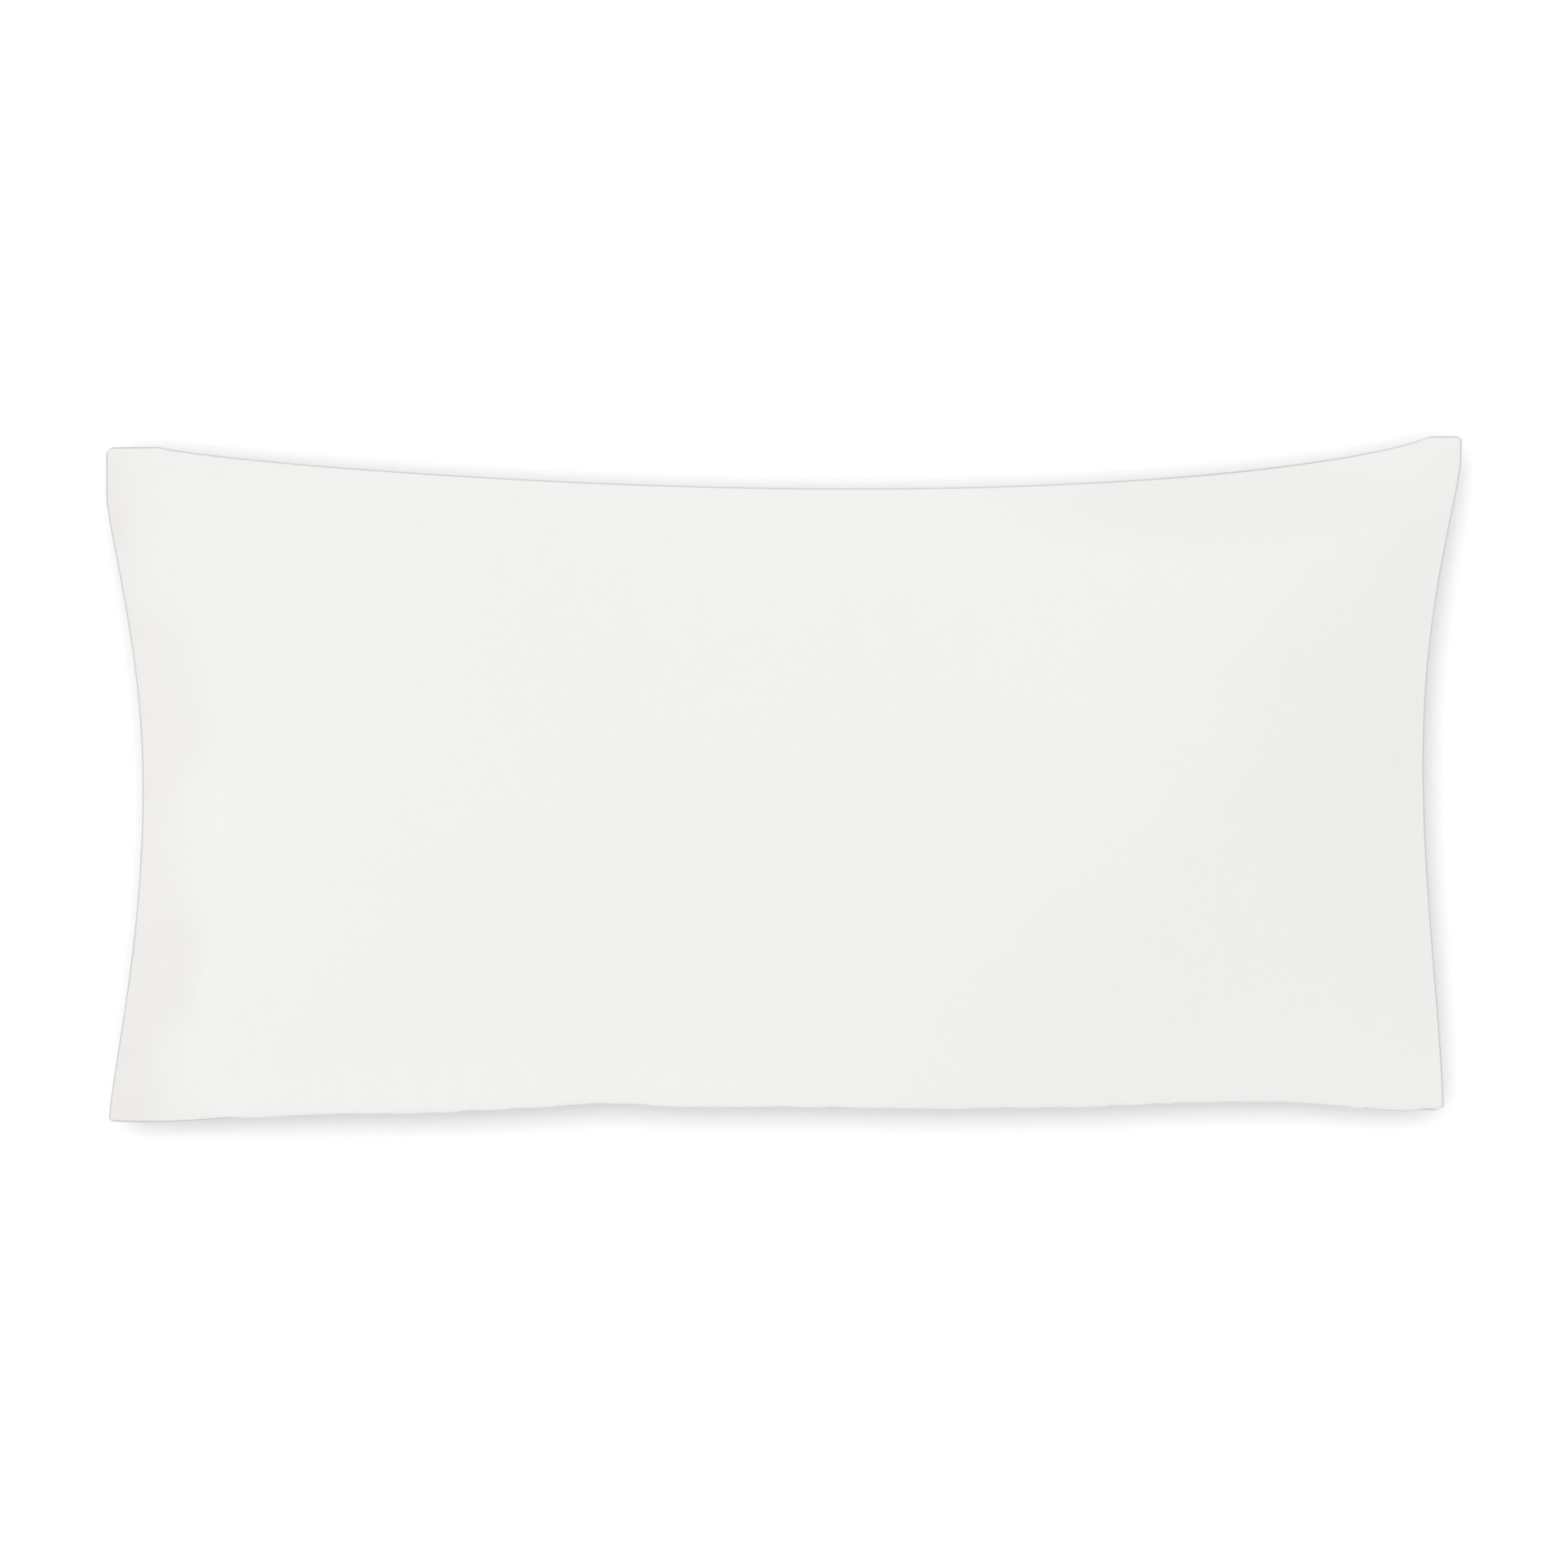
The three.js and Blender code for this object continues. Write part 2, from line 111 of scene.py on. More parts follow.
def front_side(u):
    """Y of the front seam: straight along the zip, and bent a little on the way to each corner."""
    t = np.clip((np.abs(u) - ZIP_REACH) / (1 - ZIP_REACH), 0, 1)
    t = t**2 * (1 + FRONT_BEND_EASE) / (t + FRONT_BEND_EASE)
    corner = np.where(u < 0, FRONT_LEFT[1], FRONT_RIGHT[1])
    bend = np.where(u < 0, FRONT_END_BEND["left"], FRONT_END_BEND["right"])
    power = np.where(u < 0, FRONT_BEND_POWER["left"], FRONT_BEND_POWER["right"])
    bow = t**power * (1 - t) * (power + 1) ** (power + 1) / power**power
    return ZIP_LINE_Y + (corner - ZIP_LINE_Y) * t + bend * bow


def plan(cut_x, cut_y):
    """Where a point of the flat cut lies in plan once the pillow is filled."""
    u, v = cut_x / CUT_HALF_LENGTH, cut_y / CUT_HALF_WIDTH
    along, across = (u + 1) / 2, (v + 1) / 2
    left = FRONT_LEFT[0] + (BACK_LEFT[0] - FRONT_LEFT[0]) * across + drawn_in(v, LEFT_SIDE)
    right = FRONT_RIGHT[0] + (BACK_RIGHT[0] - FRONT_RIGHT[0]) * across - drawn_in(v, RIGHT_SIDE)
    back = BACK_LEFT[1] + (BACK_RIGHT[1] - BACK_LEFT[1]) * along - drawn_in(u, BACK_SIDE)
    front = front_side(u)
    return left + (right - left) * along, front + (back - front) * across


def over_plan(cut_x, cut_y, height=0):
    """The places of the cut's points once the pillow is filled, at a height over the seam."""
    plan_x, plan_y = plan(cut_x, cut_y)
    return np.stack([plan_x, plan_y, SEAM_Z + height + 0 * plan_x], -1)


def rounded(x, y):
    """Rounds the flat cut's corners: the corner square's edge goes to a quarter circle."""
    radius = np.zeros_like(x)
    for (sx, sy), value in CORNER_RADIUS.items():
        radius += np.where((np.sign(x) == sx) & (np.sign(y) == sy), value, 0)
    radius = np.where(radius > 0, radius, 1 * MM)
    a = np.clip((np.abs(x) - CUT_HALF_LENGTH) / radius + 1, 0, None)
    b = np.clip((np.abs(y) - CUT_HALF_WIDTH) / radius + 1, 0, None)
    inside = (a > 0) & (b > 0)
    round_a = np.where(inside, a * np.sqrt(1 - b * b / 2), a)
    round_b = np.where(inside, b * np.sqrt(1 - a * a / 2), b)
    return x - np.sign(x) * radius * (a - round_a), y - np.sign(y) * radius * (b - round_b)


def cut_grid(xs, ys):
    """The flat cut's points on a grid of places, with its corners rounded."""
    return rounded(*np.meshgrid(xs, ys, indexing="ij"))


def grid_places(half, step, fine_steps):
    """Places from -half to half, a step apart, with finer ones next to both seams."""
    near = np.cumsum([0.0, *fine_steps])
    count = round((half - near[-1]) / step)
    from_seam = np.concatenate([near, np.linspace(near[-1], half, count + 1)[1:]])
    return np.concatenate([from_seam - half, (half - from_seam[:-1])[::-1]])


def edge_places(columns, rows):
    """The grid places round the edge, anticlockwise from the front left, as two index lists."""
    last_i, last_j = columns - 1, rows - 1
    i = [*range(last_i), *[last_i] * last_j, *range(last_i, 0, -1), *[0] * last_j]
    j = [*[0] * last_i, *range(last_j), *[last_j] * last_i, *range(last_j, 0, -1)]
    return np.array(i), np.array(j)


def quads(index):
    """Faces of a grid of vertex numbers, seen from its front."""
    a, b, c, d = index[:-1, :-1], index[1:, :-1], index[1:, 1:], index[:-1, 1:]
    return np.stack([a, b, c, d], -1).reshape(-1, 4)


def unit(vectors):
    return vectors / np.linalg.norm(vectors, axis=-1, keepdims=True)


def numbered(shape, first=0):
    """A grid of vertex numbers."""
    return first + np.arange(math.prod(shape)).reshape(shape)


def joined_sides(crown, belly):
    """Two grids of points with one edge in common: their points, their faces, and the crown's
    and the belly's vertex numbers."""
    top = numbered(crown.shape[:2])
    inner = np.zeros(top.shape, bool)
    inner[1:-1, 1:-1] = True
    bottom = top.copy()
    bottom[inner] = top.size + np.arange(inner.sum())
    points = np.concatenate([crown.reshape(-1, 3), belly[inner]])
    faces = np.concatenate([quads(top), quads(bottom)[:, ::-1]])
    return points, faces, top, bottom


def new_object(name, data):
    obj = bpy.data.objects.new(name, data)
    bpy.context.scene.collection.objects.link(obj)
    return obj


def mesh_object(name, points, faces, smooth=True):
    mesh = bpy.data.meshes.new(name)
    mesh.from_pydata(np.asarray(points).tolist(), [], [list(map(int, f)) for f in faces])
    mesh.update()
    if smooth:
        mesh.polygons.foreach_set("use_smooth", [True] * len(mesh.polygons))
    return new_object(name, mesh)


def flat_square(name, half, height):
    corners = [(-half, -half, height), (half, -half, height), (half, half, height),
               (-half, half, height)]
    return mesh_object(name, corners, [(0, 1, 2, 3)], smooth=False)


def set_all(target, values):
    for name, value in values.items():
        setattr(target, name, value)


def evaluated(obj):
    return obj.evaluated_get(bpy.context.evaluated_depsgraph_get())


def add_modifier(obj, kind, **values):
    modifier = obj.modifiers.new(kind.lower(), kind)
    set_all(modifier, values)
    return modifier


def apply_modifiers(obj):
    """Turns an object's mesh into what its modifiers make of it."""
    made = bpy.data.meshes.new_from_object(evaluated(obj))
    old = obj.data
    obj.modifiers.clear()
    obj.data = made
    made.name = obj.name
    bpy.data.meshes.remove(old)


# ======== the filled shape

SIM_CELLS = (130, 65)
SIM_FRAMES = 36
SIM_FLOOR = -1.6 * MM
SIM_START_HEIGHT = 66 * MM
SIM_START_CLEARANCE = 1.5 * MM
CLOTH_SETTINGS = {
    "quality": 6, "mass": 0.02, "air_damping": 8, "use_pressure": True,
    "uniform_pressure_force": 80, "vertex_group_mass": "seam", "pin_stiffness": 1,
    "tension_stiffness": 150, "compression_stiffness": 150, "shear_stiffness": 15,
    "bending_stiffness": 2, "tension_damping": 15, "compression_damping": 15,
    "shear_damping": 8, "bending_damping": 2,
}
CLOTH_COLLISIONS = {"distance_min": 1 * MM, "collision_quality": 2, "use_self_collision": False}


def starting_heights(cut_x, cut_y):
    """Heights over the seam of the crown and the belly of a plain cushion, which the simulation
    starts from."""
    u, v = cut_x / CUT_HALF_LENGTH, cut_y / CUT_HALF_WIDTH
    roundness = (np.clip(1 - u**4, 0, 1) * np.clip(1 - v**2, 0, 1)) ** 0.85
    full = SIM_START_HEIGHT * roundness
    return full, -np.minimum(full, SEAM_Z - SIM_START_CLEARANCE)


def inflate():
    """Fills the cover: two flat panels sewn together, blown up over the floor by Blender's cloth
    simulation. Returns the cut grid's places and how far the crown's and the belly's points are
    from their places in the seam's plane."""
    places = [np.linspace(-half, half, cells + 1) for half, cells in zip(CUT_HALVES, SIM_CELLS)]
    cut_x, cut_y = cut_grid(*places)
    base = over_plan(cut_x, cut_y)
    crown, belly = (over_plan(cut_x, cut_y, height) for height in starting_heights(cut_x, cut_y))

    flat = np.stack([cut_x, cut_y, np.full_like(cut_x, SEAM_Z)], -1)
    points, faces, top, bottom = joined_sides(crown, belly)
    cloth = mesh_object("cloth_to_fill", points, faces, smooth=False)
    cloth.shape_key_add(name="Basis")
    as_cut = cloth.shape_key_add(name="as_cut")
    as_cut.data.foreach_set("co", joined_sides(flat, flat)[0].astype(np.float32).ravel())
    as_cut.value = 0
    seam = cloth.vertex_groups.new(name="seam")
    seam.add(np.setdiff1d(top, top[1:-1, 1:-1]).tolist(), 1.0, "REPLACE")

    sim_floor = flat_square("sim_floor", 1, SIM_FLOOR)
    add_modifier(sim_floor, "COLLISION")
    set_all(sim_floor.collision, {"thickness_outer": 1 * MM, "cloth_friction": 5})

    modifier = add_modifier(cloth, "CLOTH")
    set_all(modifier.settings, CLOTH_SETTINGS)
    modifier.settings.rest_shape_key = as_cut
    modifier.settings.effector_weights.gravity = 0
    set_all(modifier.collision_settings, CLOTH_COLLISIONS)
    set_all(modifier.point_cache, {"frame_start": 1, "frame_end": SIM_FRAMES})
    scene = bpy.context.scene
    scene.frame_start, scene.frame_end = 1, SIM_FRAMES
    for number in range(1, SIM_FRAMES + 1):
        scene.frame_set(number)
    result = evaluated(cloth).data
    found = np.empty(len(result.vertices) * 3, np.float32)
    result.vertices.foreach_get("co", found)
    found = found.reshape(-1, 3).astype(float)
    scene.frame_set(1)
    for helper in (cloth, sim_floor):
        bpy.data.objects.remove(helper)
    return places, found[top] - base, found[bottom] - base


FILLED = inflate()


def smoothed(values, passes):
    """Evens out the finest ripples of a grid of points, and leaves its edge alone."""
    for _ in range(passes):
        inner = values[1:-1, 1:-1]
        beside = values[:-2, 1:-1] + values[2:, 1:-1] + values[1:-1, :-2] + values[1:-1, 2:]
        values = values.copy()
        values[1:-1, 1:-1] = 0.5 * inner + 0.125 * beside
    return values


def spline_matrix(knots, samples):
    """The matrix that takes values at the knots to a natural cubic spline's at the samples."""
    count = len(knots)
    gap = np.diff(knots)
    left, right = np.eye(count), np.zeros((count, count))
    for k in range(1, count - 1):
        left[k, k - 1:k + 2] = gap[k - 1], 2 * (gap[k - 1] + gap[k]), gap[k]
        right[k, k - 1:k + 2] = 6 / gap[k - 1], -6 / gap[k - 1] - 6 / gap[k], 6 / gap[k]
    curvature = np.linalg.solve(left, right)
    cell = np.clip(np.searchsorted(knots, samples, side="right") - 1, 0, count - 2)
    t = (samples - knots[cell]) / gap[cell]
    rows = np.arange(len(samples))
    matrix = np.zeros((len(samples), count))
    matrix[rows, cell] += 1 - t
    matrix[rows, cell + 1] += t
    share = (gap[cell] ** 2 / 6)[:, None]
    matrix += share * ((1 - t) ** 3 - (1 - t))[:, None] * curvature[cell]
    matrix += share * (t**3 - t)[:, None] * curvature[cell + 1]
    return matrix


def resampled(values, knots, samples):
    """A grid of vectors at finer places, by splines along both directions."""
    along, across = (spline_matrix(k, s) for k, s in zip(knots, samples))
    return np.einsum("ia,abk,jb->ijk", along, values, across, optimize=True)


# ======== creases and lumps

def ease(t):
    """A smooth step from 0 at t = 0 to 1 at t = 1."""
    t = np.clip(t, 0, 1)
    return t * t * (3 - 2 * t)


def seam_distances(cut_x, cut_y):
    """For each side: how far a point of the cut is from that seam, and its place along it."""
    return {
        "left": (CUT_HALF_LENGTH + cut_x, cut_y),
        "right": (CUT_HALF_LENGTH - cut_x, cut_y),
        "front": (CUT_HALF_WIDTH + cut_y, cut_x),
        "back": (CUT_HALF_WIDTH - cut_y, cut_x),
    }


def nearest_seam(cut_x, cut_y):
    return np.minimum.reduce([away for away, _ in seam_distances(cut_x, cut_y).values()])


CREASE_START = 4 * MM


def creases(away, along, reach, spacing, depth, width, length, rng):
    """Soft valleys that run in from a seam, spaced unevenly along it."""
    total = np.zeros_like(away)
    for centre in np.arange(-reach, reach + spacing / 2, spacing):
        centre += rng.uniform(-0.35, 0.35) * spacing
        lean = rng.normal(0, 0.16)
        own_depth = depth * rng.uniform(0.35, 1)
        own_width = width * rng.uniform(0.7, 1.3)
        own_length = length * rng.uniform(0.55, 1.5)
        across = (along - centre - lean * away) / (own_width * (1 + away / own_length))
        total -= own_depth * np.exp(-across**2) * np.exp(-(away / own_length) ** 2)
    return total * (1 - np.exp(-away / CREASE_START))


def waves(cut_x, cut_y, count, shortest, longest, height, rng):
    """Unevenness without a pattern: many plane waves, each with its own direction."""
    total = np.zeros_like(cut_x)
    for _ in range(count):
        length = rng.uniform(shortest, longest)
        turn, phase = rng.uniform(0, 2 * math.pi, 2)
        place = (cut_x * math.cos(turn) + cut_y * math.sin(turn)) / length
        total += np.cos(2 * math.pi * place + phase)
    return total * height / math.sqrt(count)


# For each side: how far along it creases go, their spacing, depth, width and length.
COVER_CREASES = {
    "left": (0.17, 0.042, 1.3 * MM, 9 * MM, 0.075),
    "right": (0.17, 0.036, 1.6 * MM, 8 * MM, 0.085),
    "back": (0.37, 0.031, 0.45 * MM, 5 * MM, 0.030),
    "front": (0.37, 0.027, 0.5 * MM, 5 * MM, 0.028),
}
# The creases are deeper on the slack underside.
CREASE_DEPTH = {1: 1.7, -1: 2.4}
INSERT_CREASES = {"left": (0.17, 0.030), "right": (0.17, 0.030), "front": (0.37, 0.024),
                  "back": (0.37, 0.024)}
INSERT_CREASE_WIDTH = 6 * MM
INSERT_CREASE_LENGTH = 0.045
INSERT_CREASE_DEPTH = {1: 1.2 * MM, -1: 0.8 * MM}


# Unevenness: how many waves, the shortest, the longest and their height. The height of the
# insert's hollows is a share of its creases' depth.
COVER_SWELLS = (16, 0.10, 0.26, 1.4 * MM)
COVER_RIPPLES = (24, 0.028, 0.06, 0.16 * MM)
INSERT_HOLLOWS = (16, 0.07, 0.2)
HOLLOW_SHARE = 0.4
FIBRE_TUFTS = (40, 0.012, 0.035, 0.35 * MM)
FIBRE_LUMPS = (20, 0.05, 0.12, 0.6 * MM)
# How far from the seam it is whole.
SWELL_FADE = 0.06
HOLLOW_FADE = 0.05
FINE_FADE = 0.02


def cover_relief(cut_x, cut_y, side, rng):
    """How far the cover's cloth stands off the simulated surface, outwards."""
    away = seam_distances(cut_x, cut_y)
    relief = sum(creases(*away[name], *sizes, rng) for name, sizes in COVER_CREASES.items())
    relief *= CREASE_DEPTH[side]
    nearest = nearest_seam(cut_x, cut_y)
    relief += waves(cut_x, cut_y, *COVER_SWELLS, rng) * ease(nearest / SWELL_FADE)
    relief += waves(cut_x, cut_y, *COVER_RIPPLES, rng) * ease(nearest / FINE_FADE)
    return relief


def insert_relief(cut_x, cut_y, side, rng):
    """Creases and hollows of the insert, all inwards."""
    away = seam_distances(cut_x, cut_y)
    depth = INSERT_CREASE_DEPTH[side]
    relief = sum(creases(*away[name], *sizes, depth, INSERT_CREASE_WIDTH, INSERT_CREASE_LENGTH, rng)
                 for name, sizes in INSERT_CREASES.items())
    hollow = HOLLOW_SHARE * depth
    hollows = np.minimum(waves(cut_x, cut_y, *INSERT_HOLLOWS, hollow, rng) - hollow, 0)
    return np.minimum(relief, 0) + hollows * ease(nearest_seam(cut_x, cut_y) / HOLLOW_FADE)


def grid_normals(points, side):
    """Unit normals of a grid of points, outwards: side is 1 for the crown, -1 for the belly."""
    return unit(np.cross(np.gradient(points, axis=0), np.gradient(points, axis=1)) * side)


# ======== the two panels of each layer

def inset_points(x, y, inset):
    """Points moved in from the outline, towards the middle."""
    return x * (1 - inset / HALF_LENGTH), y * (1 - inset / HALF_WIDTH)


# The front seam sits in a valley between two soft rolls of cloth, which hide the zip from above.
ROLL_OUT = 4 * MM
ROLL_PEAK = 12 * MM
ROLL_LIMIT = 30 * MM
ROLL_EVENING = 4
ROLL_LEAST = 1 * MM
VALLEY_HALF_LENGTH = 0.187
VALLEY_FADE = 0.015
SLIT_FADE = 0.006
VALLEY_LIFT = 1.3 * MM
VALLEY_START = 1.5 * MM
VALLEY_REACH = 25 * MM
SLIT_REACH = 10 * MM
LIP_FADE = 4 * MM
LOWER_LIP_PROUD = 0.8 * MM
FLOOR_CLEARANCE = 0.3 * MM
COVER_LEAST = 1.2 * MM
TICKING_LEAST = 1.1 * MM
LEAST_FADE = 2 * MM
# Where the roll swells and slackens: a place along the seam, how wide, and how far.
ROLL_SWAYS = ((-0.205, 0.050, 3.0 * MM), (-0.104, 0.028, -2.2 * MM), (0.105, 0.060, 1.2 * MM),
              (0.358, 0.030, 3.2 * MM))


def roll_out(points, cut_x, cut_y):
    """Pushes the cloth beside the front seam outwards, until the roll's front is ROLL_OUT past
    the seam along the zip. It fades out towards the corners."""
    away = CUT_HALF_WIDTH + cut_y
    u = cut_x[:, 0] / CUT_HALF_LENGTH
    reach = ROLL_OUT * (1 - ease((np.abs(u) - ZIP_REACH) / (1 - ZIP_REACH)))
    for centre, width, swell in ROLL_SWAYS:
        reach += swell * np.exp(-((cut_x[:, 0] - centre) / width) ** 2)
    t = away / ROLL_PEAK
    push = t**2 * np.exp(2 * (1 - t))
    near = (away > ROLL_LEAST) & (away < 4 * ROLL_PEAK)
    behind = points[..., 1] - points[:, :1, 1]
    allowed = np.where(near, (behind + reach[:, None]) / np.maximum(push, 1e-3), ROLL_LIMIT)
    strength = np.where(reach > 0, allowed.min(axis=1), 0)
    strength *= ease(reach / (0.3 * ROLL_OUT))
    padded = np.pad(strength, ROLL_EVENING, mode="edge")
    count = 2 * ROLL_EVENING + 1
    strength = np.convolve(padded, np.full(count, 1 / count), "valid")
    points = points.copy()
    points[..., 1] -= strength[:, None] * push
    return points


def along_zip(x, half_length, fade):
    """1 along the zip and 0 past its ends."""
    return 1 - ease((np.abs(x - ZIP_CENTRE_X) - half_length) / fade)


def lip_height(x, on_front):
    """Height of a panel's lip over the seam line: it stands open along the zip."""
    slit = along_zip(x, ZIP_HALF_LENGTH, SLIT_FADE) * on_front
    return SEAM_GAP + (SLIT_GAP - SEAM_GAP) * slit + LIP, slit


def clear_of_seam(points, side, nearest, least):
    """Keeps a panel off its own allowance and stitches, where the corners are flat."""
    height = side * (points[..., 2] - SEAM_Z)
    least = SEAM_GAP + LIP + (least - SEAM_GAP - LIP) * ease(nearest / LEAST_FADE)
    points[..., 2] = SEAM_Z + side * np.maximum(height, least)


# Where the pillow lies, the weight on its cloth presses the relief out of it.
PRESSED_SHARE = 0.25
PRESSED_BELOW = 2 * MM
FREE_ABOVE = 22 * MM
COVER_PASSES = 3
INSERT_PASSES = 6


def filled_shape(side, samples, passes):
    """One side of the filled shape at finer places, evened out by a number of passes."""
    places, crown, belly = FILLED
    moves = smoothed(crown if side > 0 else belly, passes)
    return over_plan(*cut_grid(*samples)) + resampled(moves, places, samples)


def raised(points, relief, side):
    """A grid of points moved outwards by the relief."""
    return points + relief[..., None] * grid_normals(points, side)


def cover_surface(side, samples, rng):
    """The outside of one cover panel."""
    cut_x, cut_y = cut_grid(*samples)
    points = roll_out(filled_shape(side, samples, COVER_PASSES), cut_x, cut_y)
    relief = cover_relief(cut_x, cut_y, side, rng)
    if side < 0:
        free = ease((points[..., 2] - PRESSED_BELOW) / (FREE_ABOVE - PRESSED_BELOW))
        relief *= PRESSED_SHARE + (1 - PRESSED_SHARE) * free
    points = raised(points, relief, side)
    plan_x, _ = plan(cut_x, cut_y)
    nearest = nearest_seam(cut_x, cut_y)
    from_front = seam_distances(cut_x, cut_y)["front"][0]
    height, _ = lip_height(plan_x, np.exp(-from_front / SLIT_REACH))
    lift = height * np.exp(-nearest / LIP_FADE)
    rise = (1 - np.exp(-from_front / VALLEY_START)) * np.exp(-from_front / VALLEY_REACH)
    lift += VALLEY_LIFT * rise * along_zip(plan_x, VALLEY_HALF_LENGTH, VALLEY_FADE)
    points[..., 2] += side * lift
    clear_of_seam(points, side, nearest, COVER_LEAST)
    points[..., 2] = np.maximum(points[..., 2], FLOOR_CLEARANCE)
    if side < 0:
        proud = -LOWER_LIP_PROUD * np.exp(-nearest / LIP_FADE)
        points[..., 0], points[..., 1] = inset_points(points[..., 0], points[..., 1], proud)
    return points


LIP_TURNS = (22, 45, 68, 90)
# Depth and height of the allowance's rings: a plain seam's, and the slit's, which lies along the
# zip tape. The last plain ring's depth is the allowance.
PLAIN_SHARES = (0.09, 0.19, 0.30, 0.55, 1.0)
SLIT_RINGS = ((1.3, 0.8), (1.9, 0.8), (2.7, 1.15), (3.45, 3.15), (10.6, 8.75))


def sewn_edge(edge_x, edge_y, side, allowance, has_slit):
    """The rings that carry a panel on from its seam line: a rolled lip and the allowance."""
    on_front = has_slit * (edge_y < -HALF_WIDTH / 2) * 1.0
    top, slit = lip_height(edge_x, on_front)
    gap = top - LIP
    rings = []
    for turn in LIP_TURNS:
        depth = LIP * (1 - math.cos(math.radians(turn)))
        height = gap + LIP * (1 - math.sin(math.radians(turn)))
        rings.append((depth + 0 * gap, height))
    for share, (slit_depth, slit_height) in zip(PLAIN_SHARES, SLIT_RINGS):
        depth = share * allowance * (1 - slit) + slit_depth * MM * slit
        height = SEAM_GAP * (1 - slit) + slit_height * MM * slit
        rings.append((depth, height))
    return [np.stack([*inset_points(edge_x, edge_y, depth), SEAM_Z + side * height], -1)
            for depth, height in rings]


def cloth_object(name, points, faces, flat, side, cloth):
    """A piece of cloth that faces up if its side is 1 and down if it is -1. It has its thickness
    on its inner side, and a UV map in metres of its flat cloth, for the weave."""
    obj = mesh_object(name, points.reshape(-1, 3), faces if side > 0 else faces[:, ::-1])
    corners = np.empty(len(obj.data.loops), np.int32)
    obj.data.loops.foreach_get("vertex_index", corners)
    layer = obj.data.uv_layers.new(name="cloth")
    layer.data.foreach_set("uv", flat.reshape(-1, 2).astype(np.float32)[corners].ravel())
    add_modifier(obj, "SOLIDIFY", thickness=cloth, offset=-1, use_quality_normals=True)
    apply_modifiers(obj)
    return obj


def panel(name, surface, flat, side, allowance, has_slit, cloth):
    """One sewn panel from its surface, the surface's places on the flat cloth, its seam
    allowance, and the cloth's thickness."""
    index = numbered(flat.shape[:2])
    i, j = edge_places(*index.shape)
    rings = sewn_edge(surface[i, j, 0], surface[i, j, 1], side, allowance, has_slit)
    loops = np.vstack([index[i, j], numbered((len(rings), len(i)), index.size)])
    ahead = np.roll(loops, -1, axis=1)
    edge_faces = np.stack([ahead[:-1], loops[:-1], loops[1:], ahead[1:]], -1).reshape(-1, 4)
    steps = np.diff([surface[i, j], *rings], axis=0)
    lengths = np.cumsum(np.linalg.norm(steps, axis=-1), axis=0)
    edge_flat = flat[i, j] + unit(flat[i, j]) * lengths[..., None]
    return cloth_object(name, np.concatenate([surface.reshape(-1, 3), *rings]),
                        np.concatenate([quads(index), edge_faces]),
                        np.concatenate([flat.reshape(-1, 2), *edge_flat]), side, cloth)


def layer_surface(layer, side, samples):
    """An inner layer's surface: the filled shape without the cover's creases, made smaller."""
    points = filled_shape(side, samples, INSERT_PASSES)
    points[..., 2] = np.maximum(points[..., 2], FLOOR_CLEARANCE)
    x, y = inset_points(points[..., 0], points[..., 1], layer["inset"])
    share = layer["crown"] if side > 0 else layer["belly"]
    return np.stack([x, y, SEAM_Z + (points[..., 2] - SEAM_Z) * share], -1)


def ticking_surface(side, samples, rng):
    """The outside of one ticking panel."""
    cut_x, cut_y = cut_grid(*samples)
    relief = insert_relief(cut_x, cut_y, side, rng)
    points = raised(layer_surface(TICKING, side, samples), relief, side)
    nearest = nearest_seam(cut_x, cut_y)
    points[..., 2] += side * (SEAM_GAP + LIP) * np.exp(-nearest / LIP_FADE)
    clear_of_seam(points, side, nearest, TICKING_LEAST)
    return points


# ======== threads and tubes

def tube(name, runs, radius, sides=5):
    """Round strands of one radius along runs of points, with closed ends."""
    points, faces, count = [], [], 0
    turn = 2 * math.pi * np.arange(sides) / sides
    for run in runs:
        run = np.asarray(run, float)
        tangent = unit(np.gradient(run, axis=0))
        side = np.cross(np.array([0, 0, 1.0]), tangent)
        weak = np.linalg.norm(side, axis=1) < 1e-6
        side[weak] = np.cross(np.array([0, 1.0, 0]), tangent[weak])
        side = unit(side)
        up = np.cross(tangent, side)
        ring = side[:, None] * np.cos(turn)[:, None] + up[:, None] * np.sin(turn)[:, None]
        points.append((run[:, None] + radius * ring).reshape(-1, 3))
        index = numbered((len(run), sides), count)
        ahead = np.roll(index, -1, axis=1)
        faces += np.stack([index[:-1], ahead[:-1], ahead[1:], index[1:]], -1).reshape(-1, 4).tolist()
        faces += [index[0, ::-1].tolist(), index[-1].tolist()]
        count += index.size
    return mesh_object(name, np.concatenate(points), faces)


def lengths_along(line):
    """How far along a line each of its points is."""
    return np.concatenate([[0], np.cumsum(np.linalg.norm(np.diff(line, axis=0), axis=1))])


def resampled_line(line, step):
    """A line's points at even steps along it."""
    lengths = lengths_along(line)
    count = int(lengths[-1] / step)
    wanted = np.arange(count + 1) * step
    return np.stack([np.interp(wanted, lengths, line[:, k]) for k in range(line.shape[1])], -1)


STITCH_POINTS = 6
LIFT_AT_HOLE = 0.12
LIFT_BESIDE_HOLE = 0.8


def stitch_lift(count, at_hole=LIFT_AT_HOLE):
    """How far a thread stands off the cloth at each point of its row: at_hole where it dips."""
    phase = np.arange(count) % STITCH_POINTS
    beside = (phase == 1) | (phase == STITCH_POINTS - 1)
    return np.where(phase == 0, at_hole, np.where(beside, LIFT_BESIDE_HOLE, 1))


def lockstitch(line, stitch, height):
    """A row's needle thread and bobbin thread, on either side of the cloth, which meet inside it
    at every hole. line is in plan."""
    points = resampled_line(line, stitch / STITCH_POINTS)
    lift = stitch_lift(len(points))
    return [np.column_stack([points, SEAM_Z + side * height * lift]) for side in (1, -1)]


